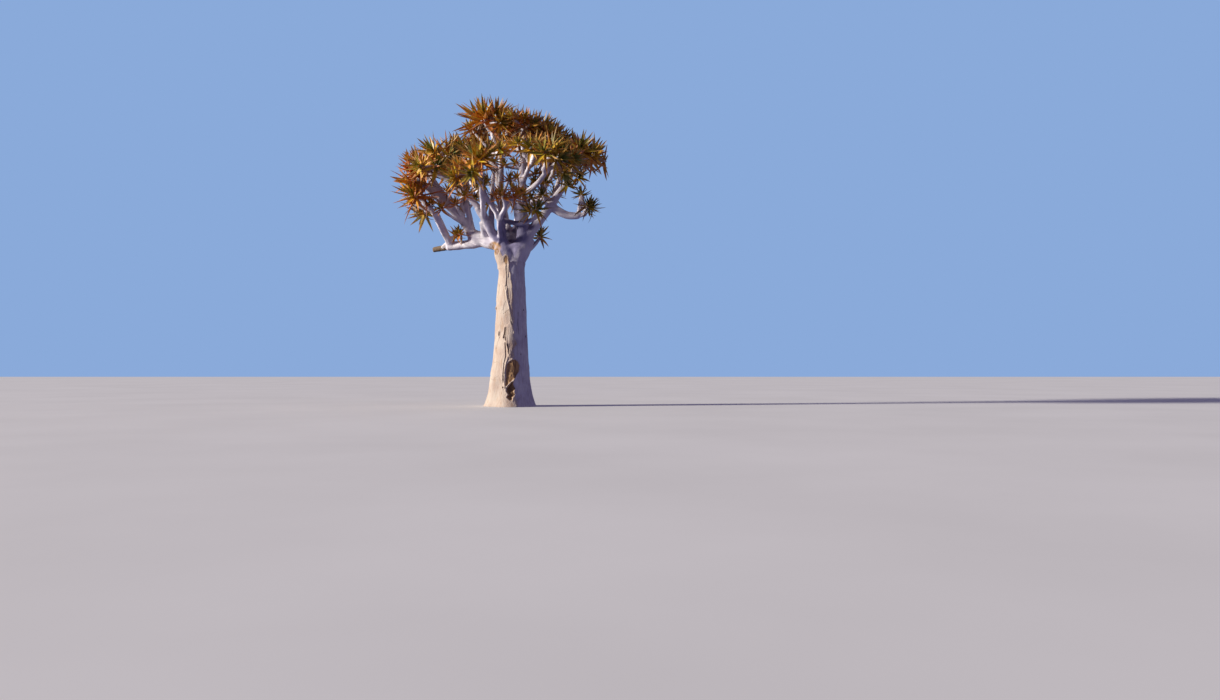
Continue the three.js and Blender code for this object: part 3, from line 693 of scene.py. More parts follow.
# Cracks: half width, depth, and the turn and height of each bend. The deeper ones are painted with shade.
CRACKS = (
    (0.005, 0.01, ((-14, 1.63), (-10, 1.51), (-6, 1.43))),
    (0.004, 0.009, ((-9, 1.34), (-3, 1.22), (2, 1.12))),
    (0.007, 0.008, ((-22, 1.98), (-22, 1.85), (-20, 1.75), (-22, 1.62))),
    (0.008, 0.022, ((-22, 1.09), (-24, 1.01), (-28, 0.95))),
    (0.005, 0.012, ((-19, 1.05), (-20, 0.94), (-16, 0.87))),
    (0.006, 0.014, ((-12, 0.86), (-9, 0.8), (-8, 0.73))),
    (0.007, 0.009, ((-21, 0.88), (-19, 0.78), (-18, 0.69), (-23, 0.6), (-24, 0.46), (-23, 0.34))),
    (0.003, 0.005, ((-33, 1.28), (-22, 1.3), (-14, 1.33))),
    (0.003, 0.004, ((-74, 0.6), (-52, 0.62), (-36, 0.58))),
    (0.003, 0.004, ((-80, 0.4), (-60, 0.37), (-44, 0.42))),
    (0.005, 0.007, ((26, 1.3), (23, 1.15), (27, 1))),
)

# Folds that stand up from the bark: half width, height, and the turn and height of each bend
FOLDS = (
    (0.009, 0.012, ((-17, 0.88), (-13, 0.78), (-10, 0.71), (-14, 0.64), (-18, 0.57), (-20, 0.46), (-20, 0.36),
                    (-18, 0.26))),
    (0.008, 0.011, ((-20, 1.66), (-21, 1.57), (-16, 1.47), (-9, 1.37), (-5, 1.27), (0, 1.18))),
    (0.008, 0.011, ((7, 1.06), (10, 0.95), (16, 0.86), (9, 0.8), (6, 0.7))),
    (0.014, 0.006, ((9, 0.385), (2, 0.33), (-5, 0.335), (-11, 0.285), (-17, 0.275))),
    (0.014, 0.006, ((-12, 1.98), (-6, 1.86), (0, 1.75), (4, 1.6))),
)

# Hollows: turn, height, half width, half height, depth. Their insides are painted with shade.
KNOT_HOLES = (
    (-69, 2.145, 0.02, 0.034, 0.026),
    (-51, 1.005, 0.013, 0.04, 0.02),
    (-76, 1.36, 0.012, 0.024, 0.012),
    (-23, 0.265, 0.012, 0.016, 0.014),
    (54, 1.34, 0.01, 0.018, 0.01),
    (58, 0.97, 0.012, 0.02, 0.01),
    (33, 0.72, 0.009, 0.016, 0.008),
)

# Openings where the outer bark has gone: heights, the turns of the left and the right edge there, depth,
# and how much painted shade darkens it inside
OPENINGS = (
    ((0.285, 0.33, 0.375, 0.4, 0.48, 0.57, 0.62, 0.655), (-16, -17, -17, -17, -18, -17, -7, 4),
     (-14, -5, 4, 10, 24, 27, 21, 12), 0.014, 0),
    ((0.09, 0.13, 0.17, 0.21, 0.25, 0.3, 0.345), (-3, -12, -8, -14, -13, -6, 2), (2, 3, 10, 5, 11, 6, 5),
     0.026, 0.55),
    ((2.1, 2.14, 2.19, 2.24), (-76, -84, -90, -90), (-62, -56, -52, -52), 0.004, 0.1),
    ((1.96, 2, 2.05, 2.09), (-29, -37, -38, -32), (-26, -20, -19, -24), 0.004, 0.2),
)

# Swellings: turn, height, half width, half height, how far each stands out
SWELLINGS = (
    (-62, 0.34, 0.12, 0.15, 0.034),
    (-6, 1, 0.06, 0.14, 0.012),
    (-80, 1.37, 0.02, 0.03, 0.012),
    (-30, 1.93, 0.045, 0.05, 0.008),
    (34, 0.2, 0.1, 0.16, 0.012),
)

# The ridges that run down the grey side: turn, half width in degrees, how far they stand out
RIDGES = ((27, 6, 0.007), (44, 5, 0.008), (63, 6, 0.006), (95, 9, 0.007), (128, 8, 0.006))

# The sizes of the bark's broad, soft and ragged unevenness, and how high each stands
BROAD_SIZE = 0.22
WAVER_SIZE = 0.1
RAGGED_SIZE = 0.028
BARK_UNEVEN = (0.006, 0.0022, 0.0012)

# The folds along the front edge of the outer bark: height, how far inside the edge, half width
EDGE_FOLDS = ((0.004, 0.012, 0.01), (0.01, 0.02, 0.045))

# Tongues narrow by this share towards their foot, from this far down. They stand out least at their top.
TONGUE_NARROWS = 0.75
TONGUE_NARROWS_FROM = 0.45
TONGUE_AT_TOP = 0.25
THINNEST_TONGUE = 0.002

# The rims that the features raise round themselves, and how soft an opening's edge is
OPENING_EDGE = 0.009
OPENING_RIM = 0.004
HOLE_RIM = 0.005
CRACK_RIM = 0.3
# How deep a crack is where its painted shade is full
SHADE_FULL_AT_DEPTH = 0.014

# Beyond its upper edge the bark folds in over the neck: how far in and how far down each ring lies
FOLDED_IN = ((0.004, 0.001), (0.016, 0.012), (0.04, 0.08), (0.09, 0.16))
FOLD_MIDDLE = (0, 0, 1.8)
NECK_SEEN_FROM = 0.34

# How thick the bark lies on the neck's wood: everywhere, more where it is outer bark, and less of that at its
# upper edge. Its hollows are no deeper there than this.
NECK_BARK = 0.0015
NECK_OUTER_BARK = 0.0055
NECK_EDGE_THINS = 0.35
NECK_HOLLOWS = 0.012


def hidden_features(rng):
    """More features of the same kinds for the sides and back, which the photograph doesn't show."""
    def turn():
        return rng.choice((rng.uniform(85, 185), rng.uniform(-175, -85)))

    tongues = []
    for _ in range(12):
        top = rng.uniform(0.55, 1.9)
        size = rng.uniform(0.055, 0.09)
        tongues.append((turn(), top, top - rng.uniform(0.25, 0.45), size, rng.uniform(0.005, 0.013)))
    cracks = []
    for _ in range(12):
        side, height = turn(), rng.uniform(0.25, 1.55)
        bends = [(side + rng.uniform(-4, 4), height + step * rng.uniform(0.09, 0.13)) for step in range(4)]
        cracks.append((rng.uniform(0.004, 0.007), rng.uniform(0.006, 0.015), tuple(bends)))
    holes = []
    for _ in range(8):
        size = rng.uniform(0.01, 0.017)
        holes.append((turn(), rng.uniform(0.3, 1.8), size, size * 1.8, rng.uniform(0.01, 0.018)))
    openings = []
    for _ in range(4):
        side, foot, tall = turn(), rng.uniform(0.1, 0.9), rng.uniform(0.06, 0.11)
        heights = [foot + tall * step for step in range(4)]
        edges = [side - reach * rng.uniform(0.7, 1.2) for reach in (2, 7, 6, 1)]
        others = [side + reach * rng.uniform(0.7, 1.2) for reach in (2, 7, 6, 1)]
        openings.append((heights, edges, others, 0.018, 0))
    return tongues, cracks, holes, openings


def arc_to(turn, other, girth):
    """How far round the trunk each point is from a turn, in metres, to the right if positive."""
    return np.radians(turned_from(turn, other)) * girth


def nearness_to_line(turn, height, girth, bends):
    """The distance in metres from each point to a line of bends, along the bark."""
    nearest = np.full(turn.shape, 9.0)
    for (turn_a, height_a), (turn_b, height_b) in zip(bends, bends[1:]):
        across, up = arc_to(turn, turn_a, girth), height - height_a
        far_across, far_up = np.radians(turn_b - turn_a) * girth, height_b - height_a
        share = np.clip((across * far_across + up * far_up) / (far_across**2 + far_up**2), 0, 1)
        distance = np.hypot(across - share * far_across, up - share * far_up)
        nearest = np.minimum(nearest, distance)
    return nearest


def depth_into_opening(turn, height, girth, heights, lefts, rights):
    """How far in from an opening's edge each point is, in metres, and below 0 outside."""
    from_left = arc_to(turn, np.interp(height, heights, lefts), girth)
    from_right = -arc_to(turn, np.interp(height, heights, rights), girth)
    from_foot, from_top = height - heights[0], heights[-1] - height
    sideways = np.minimum(from_left, from_right)
    return np.minimum(sideways, np.minimum(from_foot, from_top))


def away_from_spot(turn, height, girth, spot):
    """How far each point is from the middle of an oval, whose rim is at 1."""
    place, level, half, tall = spot
    return np.hypot(arc_to(turn, place, girth) / half, (height - level) / tall)


def outer_bark(turn, height, girth, waver, ragged):
    """The share of peach outer bark, and how far each point is to the right of that bark's front edge."""
    edge = np.interp(height, OUTER_EDGE_HEIGHTS, OUTER_EDGE_TURNS) + waver * 5 + ragged * 2
    right = arc_to(turn, edge, girth)
    behind = arc_to(turn, OUTER_EDGE_BEHIND + waver * 14, girth)
    outer = 1 - eased(-0.006, 0.006, right) * (1 - eased(-0.008, 0.008, behind))
    return np.where(np.abs(right) > np.abs(behind), behind >= 0, outer), right


def bark_relief(turn, height, girth, spots):
    """How far the bark stands out from the trunk's plain form, and three shares for its finish: peach outer
    bark, bare golden wood, and painted shade in its cracks, holes and openings."""
    tongues, cracks, holes, openings = hidden_features(random.Random(12))
    waver = rough(spots, WAVER_SIZE, 1)
    ragged = rough(spots, RAGGED_SIZE, 2)
    outer, right = outer_bark(turn, height, girth, waver, ragged)
    bare = np.zeros(turn.shape)
    dark = np.zeros(turn.shape)
    stand = OUTER_THICKNESS * outer
    for rise, inset, half in EDGE_FOLDS:
        stand += rise * outer * hump(right + inset, half)
    for ridge, width, rise in RIDGES:
        sway = 3 * np.sin(height * 2.6 + ridge) + waver * 3
        stand += rise * hump(turned_from(turn - ridge, sway), width)
    for rise, pattern in zip(BARK_UNEVEN, (rough(spots, BROAD_SIZE, 3), waver, ragged)):
        stand = stand + rise * pattern
    for place, top, foot, half, rise in (*TONGUES, *tongues):
        down = (top - height + waver * 0.02) / (top - foot)
        narrowing = 1 - TONGUE_NARROWS * eased(TONGUE_NARROWS_FROM, 1, down)
        width = np.maximum(half * narrowing * eased(-0.02, 0.2, down), THINNEST_TONGUE)
        across = np.abs(arc_to(turn, place, girth) + ragged * 0.006) / width
        inside = (1 - eased(0.86, 1.0, across)) * (down > 0) * (1 - eased(0.97, 1.0, down))
        stand += rise * inside * mix(TONGUE_AT_TOP, 1, np.clip(down, 0, 1))
    for half, depth, bends in (*CRACKS, *cracks):
        distance = nearness_to_line(turn, height, girth, bends) + ragged * 0.003
        cut = hump(distance, half)
        stand = stand - depth * cut + depth * CRACK_RIM * hump(distance - 2.0 * half, half)
        # Painted shade in the deeper cracks
        dark = np.maximum(dark, cut * min(1, depth / SHADE_FULL_AT_DEPTH))
    for half, rise, bends in FOLDS:
        distance = nearness_to_line(turn, height, girth, bends) + ragged * 0.002
        stand += rise * hump(distance, half)
    for heights, lefts, rights, depth, painted_shade_inside in (*OPENINGS, *openings):
        inwards = depth_into_opening(turn, height, girth, heights, lefts, rights)
        inwards = inwards + ragged * 0.007 + waver * 0.008
        inside = eased(0, OPENING_EDGE, inwards)
        rim = hump(inwards + 0.008, 0.007) * min(1, depth / 0.016)
        stand = stand - depth * inside * (1 + 0.35 * waver + 0.25 * ragged) + OPENING_RIM * rim
        bare = np.maximum(bare, inside)
        # Painted shade deep inside the opening
        dark = np.maximum(dark, painted_shade_inside * eased(0.008, 0.024, inwards))
    for *spot, depth in (*KNOT_HOLES, *holes):
        away = away_from_spot(turn, height, girth, spot) + ragged * 0.15
        inside = 1 - eased(0.45, 1.0, away)
        stand = stand - depth * inside + HOLE_RIM * hump(away - 1.25, 0.25)
        # Painted shade in the hole
        dark = np.maximum(dark, inside)
    for *spot, rise in SWELLINGS:
        stand += rise * hump(away_from_spot(turn, height, girth, spot), 1)
    return stand, outer, bare, dark


def bark_top(turn):
    """How high the trunk's own bark reaches, in small rounded lobes."""
    lobes = 0.014 * np.abs(np.sin(np.radians(turn) * 4.5 + 0.4)) + 0.006 * np.sin(np.radians(turn) * 11)
    return np.interp(turn, TOP_TURNS, TOP_HEIGHTS) + lobes


def neck_radii(wood, angles, heights):
    """How far out the wood of the neck reaches at each place, found by looking in at it from outside."""
    found = np.zeros(angles.shape)
    for place in np.ndindex(angles.shape):
        height = heights[place]
        outwards = Vector((math.cos(angles[place]), math.sin(angles[place]), 0))
        middle = Vector((0, 0, height))
        hit = wood.ray_cast(middle + outwards * NECK_SEEN_FROM, -outwards, NECK_SEEN_FROM)
        if hit[0]:
            found[place] = (hit[0] - middle).length
    return found


def round_trunk(angle, radius, height):
    """The places at these angles and distances from the trunk's middle line."""
    return np.stack([np.cos(angle) * radius, np.sin(angle) * radius, height], axis=-1)


def trunk_mesh(wood, bark):
    """The trunk with its bark's relief, closed by its flat cut below and folded in over the neck's wood
    above."""
    columns = np.arange(TRUNK_COLUMNS) * 360 / TRUNK_COLUMNS
    turn, level = np.meshgrid(turned_from(columns, 0), np.linspace(0, 1, TRUNK_ROWS))
    height = level * bark_top(turn)
    angle = np.radians(turn + PHOTO_SIDE)
    girth = trunk_girth(height) * (1 + lobe_swell(angle, height))
    spots = round_trunk(angle, girth, height).reshape(-1, 3)
    shares = bark_relief(turn.ravel(), height.ravel(), girth.ravel(), spots)
    stand, outer, bare, dark = (share.reshape(turn.shape) for share in shares)
    near_top = eased(NECK_FOLLOWS_FROM, 1.9, height)
    follows = np.zeros(turn.shape)
    rows = np.nonzero((height > NECK_FOLLOWS_FROM).any(axis=1))[0]
    follows[rows] = neck_radii(wood, angle[rows], height[rows])
    thin = NECK_BARK + NECK_OUTER_BARK * outer * (1 - eased(0.93, 1.0, level) * NECK_EDGE_THINS)
    hugging = follows + thin + np.maximum(stand - OUTER_THICKNESS * outer, -NECK_HOLLOWS)
    plain = girth - 0.004 + stand
    radius = np.where(follows > 0, mix(plain, np.maximum(hugging, follows - 0.02), near_top), plain)
    rings = [round_trunk(angle, radius, height)]
    for inset, drop in FOLDED_IN:
        rings.append(round_trunk(angle[:1], radius[-1:] - inset, height[-1:] - drop))
    mesh = closed_tube("trunk_bark", np.concatenate(rings), (0, 0, 0), FOLD_MIDDLE, bark)
    unpainted = np.zeros(len(mesh.vertices) - outer.size)
    for name, share in (("outer_bark", outer), ("bare_wood", bare), ("dark_depth", dark)):
        paint(mesh, name, np.concatenate([share.ravel(), unpainted]))
    return mesh


# Wood of the boughs

WOOD_GRAIN = 0.0085
WOOD_SIDES = 20
TWIG_SIDES = 8
WOOD_TRIANGLES = 190_000
GROWN_FOR_SMOOTHING = 0.0025
FILLET_ROUNDS = 36
NORMALS_EVERY = 5
HOLLOW_PULL = 0.5
BULGE_PULL = 0.12
NECK_FROM = 1.5
NECK_TOP = 2.14
NECK_INSET = 0.008

# The wood's fine unevenness: how high, how wide and which draw
UNEVEN = ((0.0028, 0.075, 4), (0.0012, 0.022, 6))


def neck_limb():
    """The core of the trunk's top, which the outer bark lies on."""
    heights = np.arange(NECK_FROM, NECK_TOP, POINT_SPACING)
    path = np.stack([heights * 0, heights * 0, heights], axis=1)
    narrowing = 1 - 0.75 * eased(NECK_HEIGHT, NECK_TOP, heights)
    return path, (np.minimum(trunk_girth(heights), trunk_girth(NECK_HEIGHT)) - NECK_INSET) * narrowing


def fill_crotches(mesh, rounds):
    """Fillets every inner corner between limbs, and leaves what bulges outwards as it is."""
    points, edges = points_of(mesh), edges_of(mesh)
    for step in range(rounds):
        if step % NORMALS_EVERY == 0:
            move_points(mesh, points)
            normals = normals_of(mesh)
        pull = neighbour_mean(points, edges) - points
        hollow = np.einsum("ij,ij->i", pull, normals) > 0
        points = points + pull * np.where(hollow, HOLLOW_PULL, BULGE_PULL)[:, None]
    move_points(mesh, points)


def wood_mesh(limbs, stems, bark):
    """All boughs and the stems of the crowns as one piece of wood, with soft forks and fine unevenness."""
    solid = [neck_limb()]
    for seed, (path, radii) in enumerate([*limbs, *stems]):
        path, radii = knobbly(path, radii, seed)
        solid.append((path, radii + GROWN_FOR_SMOOTHING))
    thing = show("wood", limb_mesh(solid, WOOD_SIDES, bark))
    fused = thing.modifiers.new("fused", "REMESH")
    fused.mode = "VOXEL"
    fused.voxel_size = WOOD_GRAIN
    mesh = evaluated_mesh(thing)
    fill_crotches(mesh, FILLET_ROUNDS)
    points, normals = points_of(mesh), normals_of(mesh)
    uneven = sum(height * rough(points, size, seed) for height, size, seed in UNEVEN)
    move_points(mesh, points + normals * uneven[:, None])
    mesh.calc_loop_triangles()
    thing = show("wood", mesh)
    lighter = thing.modifiers.new("lighter", "DECIMATE")
    lighter.ratio = min(1, WOOD_TRIANGLES / len(mesh.loop_triangles))
    mesh = evaluated_mesh(thing)
    paint_wood(mesh)
    mesh.materials.clear()
    mesh.materials.append(bark)
    mesh.shade_smooth()
    return mesh


# Places where the skin differs, or where shade or shadow is painted on it: the middle, half sizes and
# strength of each
# Painted shade round the fork and inside the crown, on the sides of the wood turned from the sun
PAINTED_SHADE_PLACES = (
    ((-0.02, -0.1, 2.42), (0.3, 0.3, 0.3), 1.0),
    ((-0.27, -0.1, 2.56), (0.13, 0.2, 0.2), 0.8),
    ((-0.05, 0.05, 3), (0.55, 0.6, 0.55), 0.6),
)
# Painted shadow in the fork, on the sides of the wood turned to the sun, as if the crown shaded them
PAINTED_SHADOW_PLACES = (
    ((0.13, 0.05, 2.36), (0.34, 0.5, 0.4), 1.0),
    ((0.13, -0.03, 2.76), (0.17, 0.3, 0.26), 1.0),
    ((-0.09, -0.12, 2.15), (0.15, 0.22, 0.18), 1.0),
)
TAN_SKIN = (
    ((-0.235, -0.07, 2.205), (0.11, 0.18, 0.1), 1.0),
)
LOW_WOOD = (2.14, 2.42)
STUB_BEGINS = (0.93, 1.01)
TAN_BEGINS = (0.3, 0.42)
AWAY_FROM_SUN = (0.75, -0.55, -0.35)


def near_to(points, places):
    """How far within these places each point is, from 0 to the place's strength."""
    found = np.zeros(len(points))
    for middle, sizes, strength in places:
        away = np.linalg.norm((points - np.array(middle)) / np.array(sizes), axis=1)
        found = np.maximum(found, strength * (1 - eased(0.75, 1.1, away)))
    return found


def paint_wood(mesh):
    """The dead stub weathers brown, the undersides of the low boughs and the crotch on the left are tan, and
    shade is painted on the wood round the fork and inside the crown: on its sides turned from the sun, and in
    the fork as painted shadow on its sides turned to the sun too."""
    points, normals = points_of(mesh), normals_of(mesh)
    low = (points[:, 2] > LOW_WOOD[0]) * (points[:, 2] < LOW_WOOD[1])
    stub = eased(*STUB_BEGINS, -points[:, 0]) * low
    paint(mesh, "weathered", stub * (0.55 + 0.45 * rough(points, 0.03, 8)))
    under = eased(*TAN_BEGINS, -points[:, 0]) * low * eased(0.8, 0.97, -normals[:, 2])
    flaked = mix(0.6, 1, eased(-0.35, 0.15, rough(points, 0.035, 9)))
    paint(mesh, "tan_skin", np.maximum(under * 0.7, near_to(points, TAN_SKIN) * flaked))
    # Painted shade: the wood round the fork and inside the crown darkens on its sides turned from the sun
    away = eased(-0.25, 0.45, normals @ AWAY_FROM_SUN)
    paint(mesh, "dark_skin", near_to(points, PAINTED_SHADE_PLACES) * away)
    # Painted shadow: in the fork the sides turned to the sun are darkened too
    sunward = eased(-0.15, 0.4, normals @ Vector(SUN_FROM).normalized())
    paint(mesh, "deep_skin", near_to(points, PAINTED_SHADOW_PLACES) * sunward)


# Dead stub: its bark has gone and its end is broken off
STUB_FROM = 0.3
STUB_SIDES = 26
STUB_RINGS = 16
STUB_STANDS_OUT = 0.005
STUB_UNEVEN = 0.0035
STUB_UNEVEN_SIZE = 0.03
SPLINTER = 0.018
SPLINTER_SIZE = 0.012

# The hollow of its break: the share of its radius and how far back each ring lies
STUB_HOLLOW = ((0.66, 0.01), (0.34, 0.022))
STUB_HOLLOW_DEPTH = 0.03


def broken_stub(path, radii, wood):
    """The dead end of a bough, as a closed limb with a splintered and hollow break."""
    start = round(STUB_FROM * (len(path) - 1))
    path, radii = path[start:], radii[start:] + STUB_STANDS_OUT
    along = heading_at_end(path)
    side = along.cross(UP).normalized()
    rise = side.cross(along)
    turns = np.arange(STUB_SIDES) * math.tau / STUB_SIDES
    around = np.outer(np.cos(turns), side) + np.outer(np.sin(turns), rise)
    rings = []
    for step in np.linspace(0, len(path) - 1, STUB_RINGS):
        radius = np.interp(step, range(len(path)), radii)
        ring = np.array(point_at(path, step / (len(path) - 1))) + around * radius
        rings.append(ring + around * (STUB_UNEVEN * rough(ring, STUB_UNEVEN_SIZE, 3))[:, None])
    along, middle = np.array(along), path[-1]
    splinters = SPLINTER * rough(rings[-1], SPLINTER_SIZE, 7)[:, None] * along
    rings[-1] = rings[-1] + splinters
    for inwards, back in STUB_HOLLOW:
        rings.append(middle + around * radii[-1] * inwards - along * back + splinters * inwards)
    return closed_tube("dead_stub_wood", rings, path[0], middle - along * STUB_HOLLOW_DEPTH, wood)


# Finishes


def tone(red, green, blue):
    """A colour given from 0 to 255 as the eye sees it, as the shader takes it."""
    seen = [value / 255 for value in (red, green, blue)]
    return (*[value / 12.92 if value < 0.04045 else ((value + 0.055) / 1.055) ** 2.4 for value in seen], 1)


class Finish:
    """A material in the making. Its patterns lie on the piece's own coordinates."""

    def __init__(self, name, roughness, specular=0.25):
        self.made = bpy.data.materials.new(name)
        self.made.use_nodes = True
        self.tree = self.made.node_tree
        self.shader = self.tree.nodes["Principled BSDF"]
        self.shader.inputs["Roughness"].default_value = roughness
        self.shader.inputs["Specular IOR Level"].default_value = specular
        self.place = add(self.tree, "ShaderNodeTexCoord").outputs["Object"]

    def between(self, value, low, high):
        """How far a value is on the way from low to high, from 0 to 1."""
        return add(self.tree, "ShaderNodeMapRange", Value=value, From_Min=low, From_Max=high).outputs[0]

    def mottle(self, size, stretch=1.0, detail=4.0, low=0.35, high=0.65):
        """A share from 0 to 1 that varies over patches of that size, stretched upwards."""
        scale = (1 / size, 1 / size, 1 / size / stretch)
        spread = add(self.tree, "ShaderNodeMapping", Vector=self.place, Scale=scale)
        patches = add(self.tree, "ShaderNodeTexNoise", Vector=spread.outputs[0], Scale=1.0, Detail=detail)
        return self.between(patches.outputs["Fac"], low, high)

    def painted(self, name):
        """The share that is painted on the piece under this name."""
        node = add(self.tree, "ShaderNodeAttribute")
        node.attribute_name = name
        return node.outputs["Fac"]

    def mix(self, share, first, second):
        """One colour turning into another by a share. Each is a colour for tone, or a link."""
        node = self.tree.nodes.new("ShaderNodeMix")
        node.data_type = "RGBA"
        colours = [tone(*given) if isinstance(given, tuple) else given for given in (first, second)]
        for place, given in zip((0, 6, 7), (share, *colours)):
            feed(self.tree, node.inputs[place], given)
        return node.outputs[2]

    def scaled(self, share, amount):
        return add_math(self.tree, "MULTIPLY", share, amount)

    def finished(self, skin, height=None, distance=0):
        """The material with this colour, and with fine relief where a height is given."""
        self.tree.links.new(skin, self.shader.inputs["Base Color"])
        if height:
            bump = add(self.tree, "ShaderNodeBump", Height=height, Strength=1.0, Distance=distance)
            self.tree.links.new(bump.outputs[0], self.shader.inputs["Normal"])
        return self.made


def smooth_bark(bark):
    """The powdery skin of the boughs: off-white, clouded with lilac grey and flecked with old leaf scars."""
    skin = bark.mix(bark.mottle(0.16, detail=5.0), (224, 218, 222), (198, 190, 202))
    streaks = bark.mottle(0.022, stretch=6, low=0.52, high=0.8)
    skin = bark.mix(bark.scaled(streaks, 0.35), skin, (172, 154, 142))
    flecks = add(bark.tree, "ShaderNodeTexVoronoi", Vector=bark.place, Scale=58.0)
    fleck = bark.between(flecks.outputs["Distance"], 0.2, 0.05)
    some = bark.scaled(fleck, bark.mottle(0.07, low=0.5, high=0.62))
    return bark.mix(bark.scaled(some, 0.55), skin, (134, 108, 88))


def bough_bark():
    bark = Finish("powdery bough bark", 0.62)
    # This violet is painted shade, for the wood's sides turned from the sun
    painted_shade_violet = bark.mix(bark.mottle(0.09, stretch=2), (152, 146, 176), (126, 120, 150))
    tan = bark.mix(bark.mottle(0.03, stretch=2), (170, 132, 92), (114, 82, 56))
    grey = bark.mix(bark.mottle(0.015), (130, 116, 100), (84, 72, 62))
    skin = smooth_bark(bark)
    # The first two layers are painted shade and painted shadow; the tan and the grey are the bark's own
    # colours
    for name, over in (("dark_skin", painted_shade_violet), ("deep_skin", (112, 106, 134)), ("tan_skin", tan),
                       ("weathered", grey)):
        skin = bark.mix(bark.painted(name), skin, over)
    fine = bark.mottle(0.012, stretch=2.5, detail=6.0, low=0.2, high=0.8)
    folds = bark.mottle(0.05, stretch=0.6, detail=3.0, low=0.2, high=0.8)
    return bark.finished(skin, add_math(bark.tree, "ADD", fine, bark.scaled(folds, 2.0)), 0.0016)


def trunk_bark():
    bark = Finish("flaking trunk bark", 0.74)
    furrows = bark.mottle(0.018, stretch=14, low=0.45, high=0.75)
    skin = bark.mix(bark.scaled(furrows, 0.55), smooth_bark(bark), (164, 148, 146))
    peach = bark.mix(bark.mottle(0.11, stretch=1.8), (215, 197, 180), (198, 174, 157))
    stains = bark.mottle(0.05, stretch=3.0, detail=6.0, low=0.52, high=0.72)
    peach = bark.mix(bark.scaled(stains, 0.55), peach, (178, 140, 104))
    ashen = bark.mottle(0.14, detail=3.0, low=0.56, high=0.7)
    peach = bark.mix(bark.scaled(ashen, 0.5), peach, (208, 196, 182))
    golden = bark.mix(bark.mottle(0.025, stretch=4), (200, 158, 110), (136, 102, 72))
    # The dark brown in the cracks, holes and openings is painted shade
    for name, over in (("outer_bark", peach), ("bare_wood", golden), ("dark_depth", (64, 46, 36))):
        skin = bark.mix(bark.painted(name), skin, over)
    fine = bark.mottle(0.01, stretch=2.0, detail=7.0, low=0.2, high=0.8)
    grain = bark.mottle(0.012, stretch=12, detail=3.0, low=0.25, high=0.75)
    return bark.finished(skin, add_math(bark.tree, "ADD", fine, bark.scaled(grain, 1.4)), 0.0022)


def dead_wood():
    wood = Finish("weathered dead wood", 0.9)
    fibres = add(wood.tree, "ShaderNodeMapping", Vector=wood.place, Scale=(14, 110, 90))
    grain = add(wood.tree, "ShaderNodeTexNoise", Vector=fibres.outputs[0], Scale=1.0, Detail=6.0)
    grain = grain.outputs["Fac"]
    return wood.finished(wood.mix(grain, (52, 42, 36), (126, 106, 86)), grain, 0.004)


# Leaf tints, from the coolest to the warmest: a name, the upper face, the under face and the tip. Each under
# face is a darker copy of its upper face: painted shade.
TINTS = (
    ("green", (114, 122, 36), (106, 106, 36), (152, 118, 48)),
    ("olive", (166, 152, 38), (150, 130, 36), (186, 136, 50)),
    ("yellow", (226, 188, 48), (208, 164, 42), (214, 154, 60)),
    ("golden", (240, 182, 48), (220, 156, 42), (224, 148, 70)),
    ("amber", (238, 164, 48), (218, 142, 44), (224, 144, 84)),
    ("orange", (232, 144, 52), (212, 124, 48), (224, 148, 108)),
    ("dry", (164, 122, 78), (134, 98, 62), (132, 94, 64)),
)


def leaf_finish(name, colour, roughness=0.45):
    """Waxy skin of one tint, with slight unevenness."""
    leaf = Finish(name, roughness, specular=0.5)
    leaf.shader.inputs["Subsurface Weight"].default_value = 0.12
    leaf.shader.inputs["Subsurface Radius"].default_value = (1.0, 0.55, 0.18)
    leaf.shader.inputs["Subsurface Scale"].default_value = 0.03
    duller = tuple(value * 0.8 for value in colour)
    skin = leaf.mix(leaf.mottle(0.06, detail=2.0), colour, duller)
    return leaf.finished(skin, leaf.mottle(0.008, detail=2.0, low=0.2, high=0.8), 0.0008)


# Leaves: shares of the length from root to tip, and how wide the leaf is there against its widest
LEAF_SECTIONS = ((0.0, 0.8), (0.09, 1.0), (0.32, 0.93), (0.58, 0.71), (0.82, 0.36))
LEAF_WIDTH = 0.143
SLIMMEST = 0.85
WIDEST = 1.2
EDGE_RISE = 0.022
KEEL_DROP = 0.026

# How each kind of leaf is shaped: rise of its tip, sway of its tip and turns of its blade, all for one length
LEAF_KINDS = (
    (0.05, 0.02, 0.05), (-0.1, -0.03, -0.2), (-0.03, 0.03, 0.15), (0.03, -0.04, -0.1), (0.12, -0.02, 0.1),
    (0.15, 0.03, 0.2), (-0.42, 0.12, 0.9), (-0.28, -0.14, -1.0),
)
DRY_KINDS = (6, 7)
CURLING_KINDS = (1, 3, 5)
RISING_KINDS = (0, 2, 4)


def leaf_kind(index, rise, sway, turns):
    """One leaf a metre long along +Y: a shallow channel above, a keel below, closed at its root and pointed
    at its tip."""
    points, faces, under, tip = [], [], [], []
    for along, wide in LEAF_SECTIONS:
        half = LEAF_WIDTH / 2 * wide
        deep = KEEL_DROP * wide
        outline = ((-half, EDGE_RISE * wide), (0, 0), (half, EDGE_RISE * wide), (0, -deep))
        cos, sin = math.cos(turns * along), math.sin(turns * along)
        for across, up in outline:
            x = across * cos - up * sin + sway * along**2
            z = across * sin + up * cos + rise * along**2
            points.append((x, along, z))
    points.append((sway, 1, rise))
    last = len(points) - 1
    for section in range(len(LEAF_SECTIONS)):
        for side in range(4):
            first, after = section * 4, (side + 1) % 4
            if first + 4 < last:
                faces.append((first + side, first + after, first + 4 + after, first + 4 + side))
            else:
                faces.append((first + side, first + after, last))
            under.append(side >= 2)
            tip.append(section >= len(LEAF_SECTIONS) - 2)
    faces.append((3, 2, 1, 0))
    under.append(True)
    tip.append(False)
    mesh = bpy.data.meshes.new(f"leaf_{index}")
    mesh.from_pydata(points, [], [face[::-1] for face in faces])
    for name, values in (("under_face", under), ("leaf_tip", tip)):
        mesh.attributes.new(name, "BOOLEAN", "FACE").data.foreach_set("value", values)
    return bpy.data.objects.new(f"leaf_{index}", mesh)


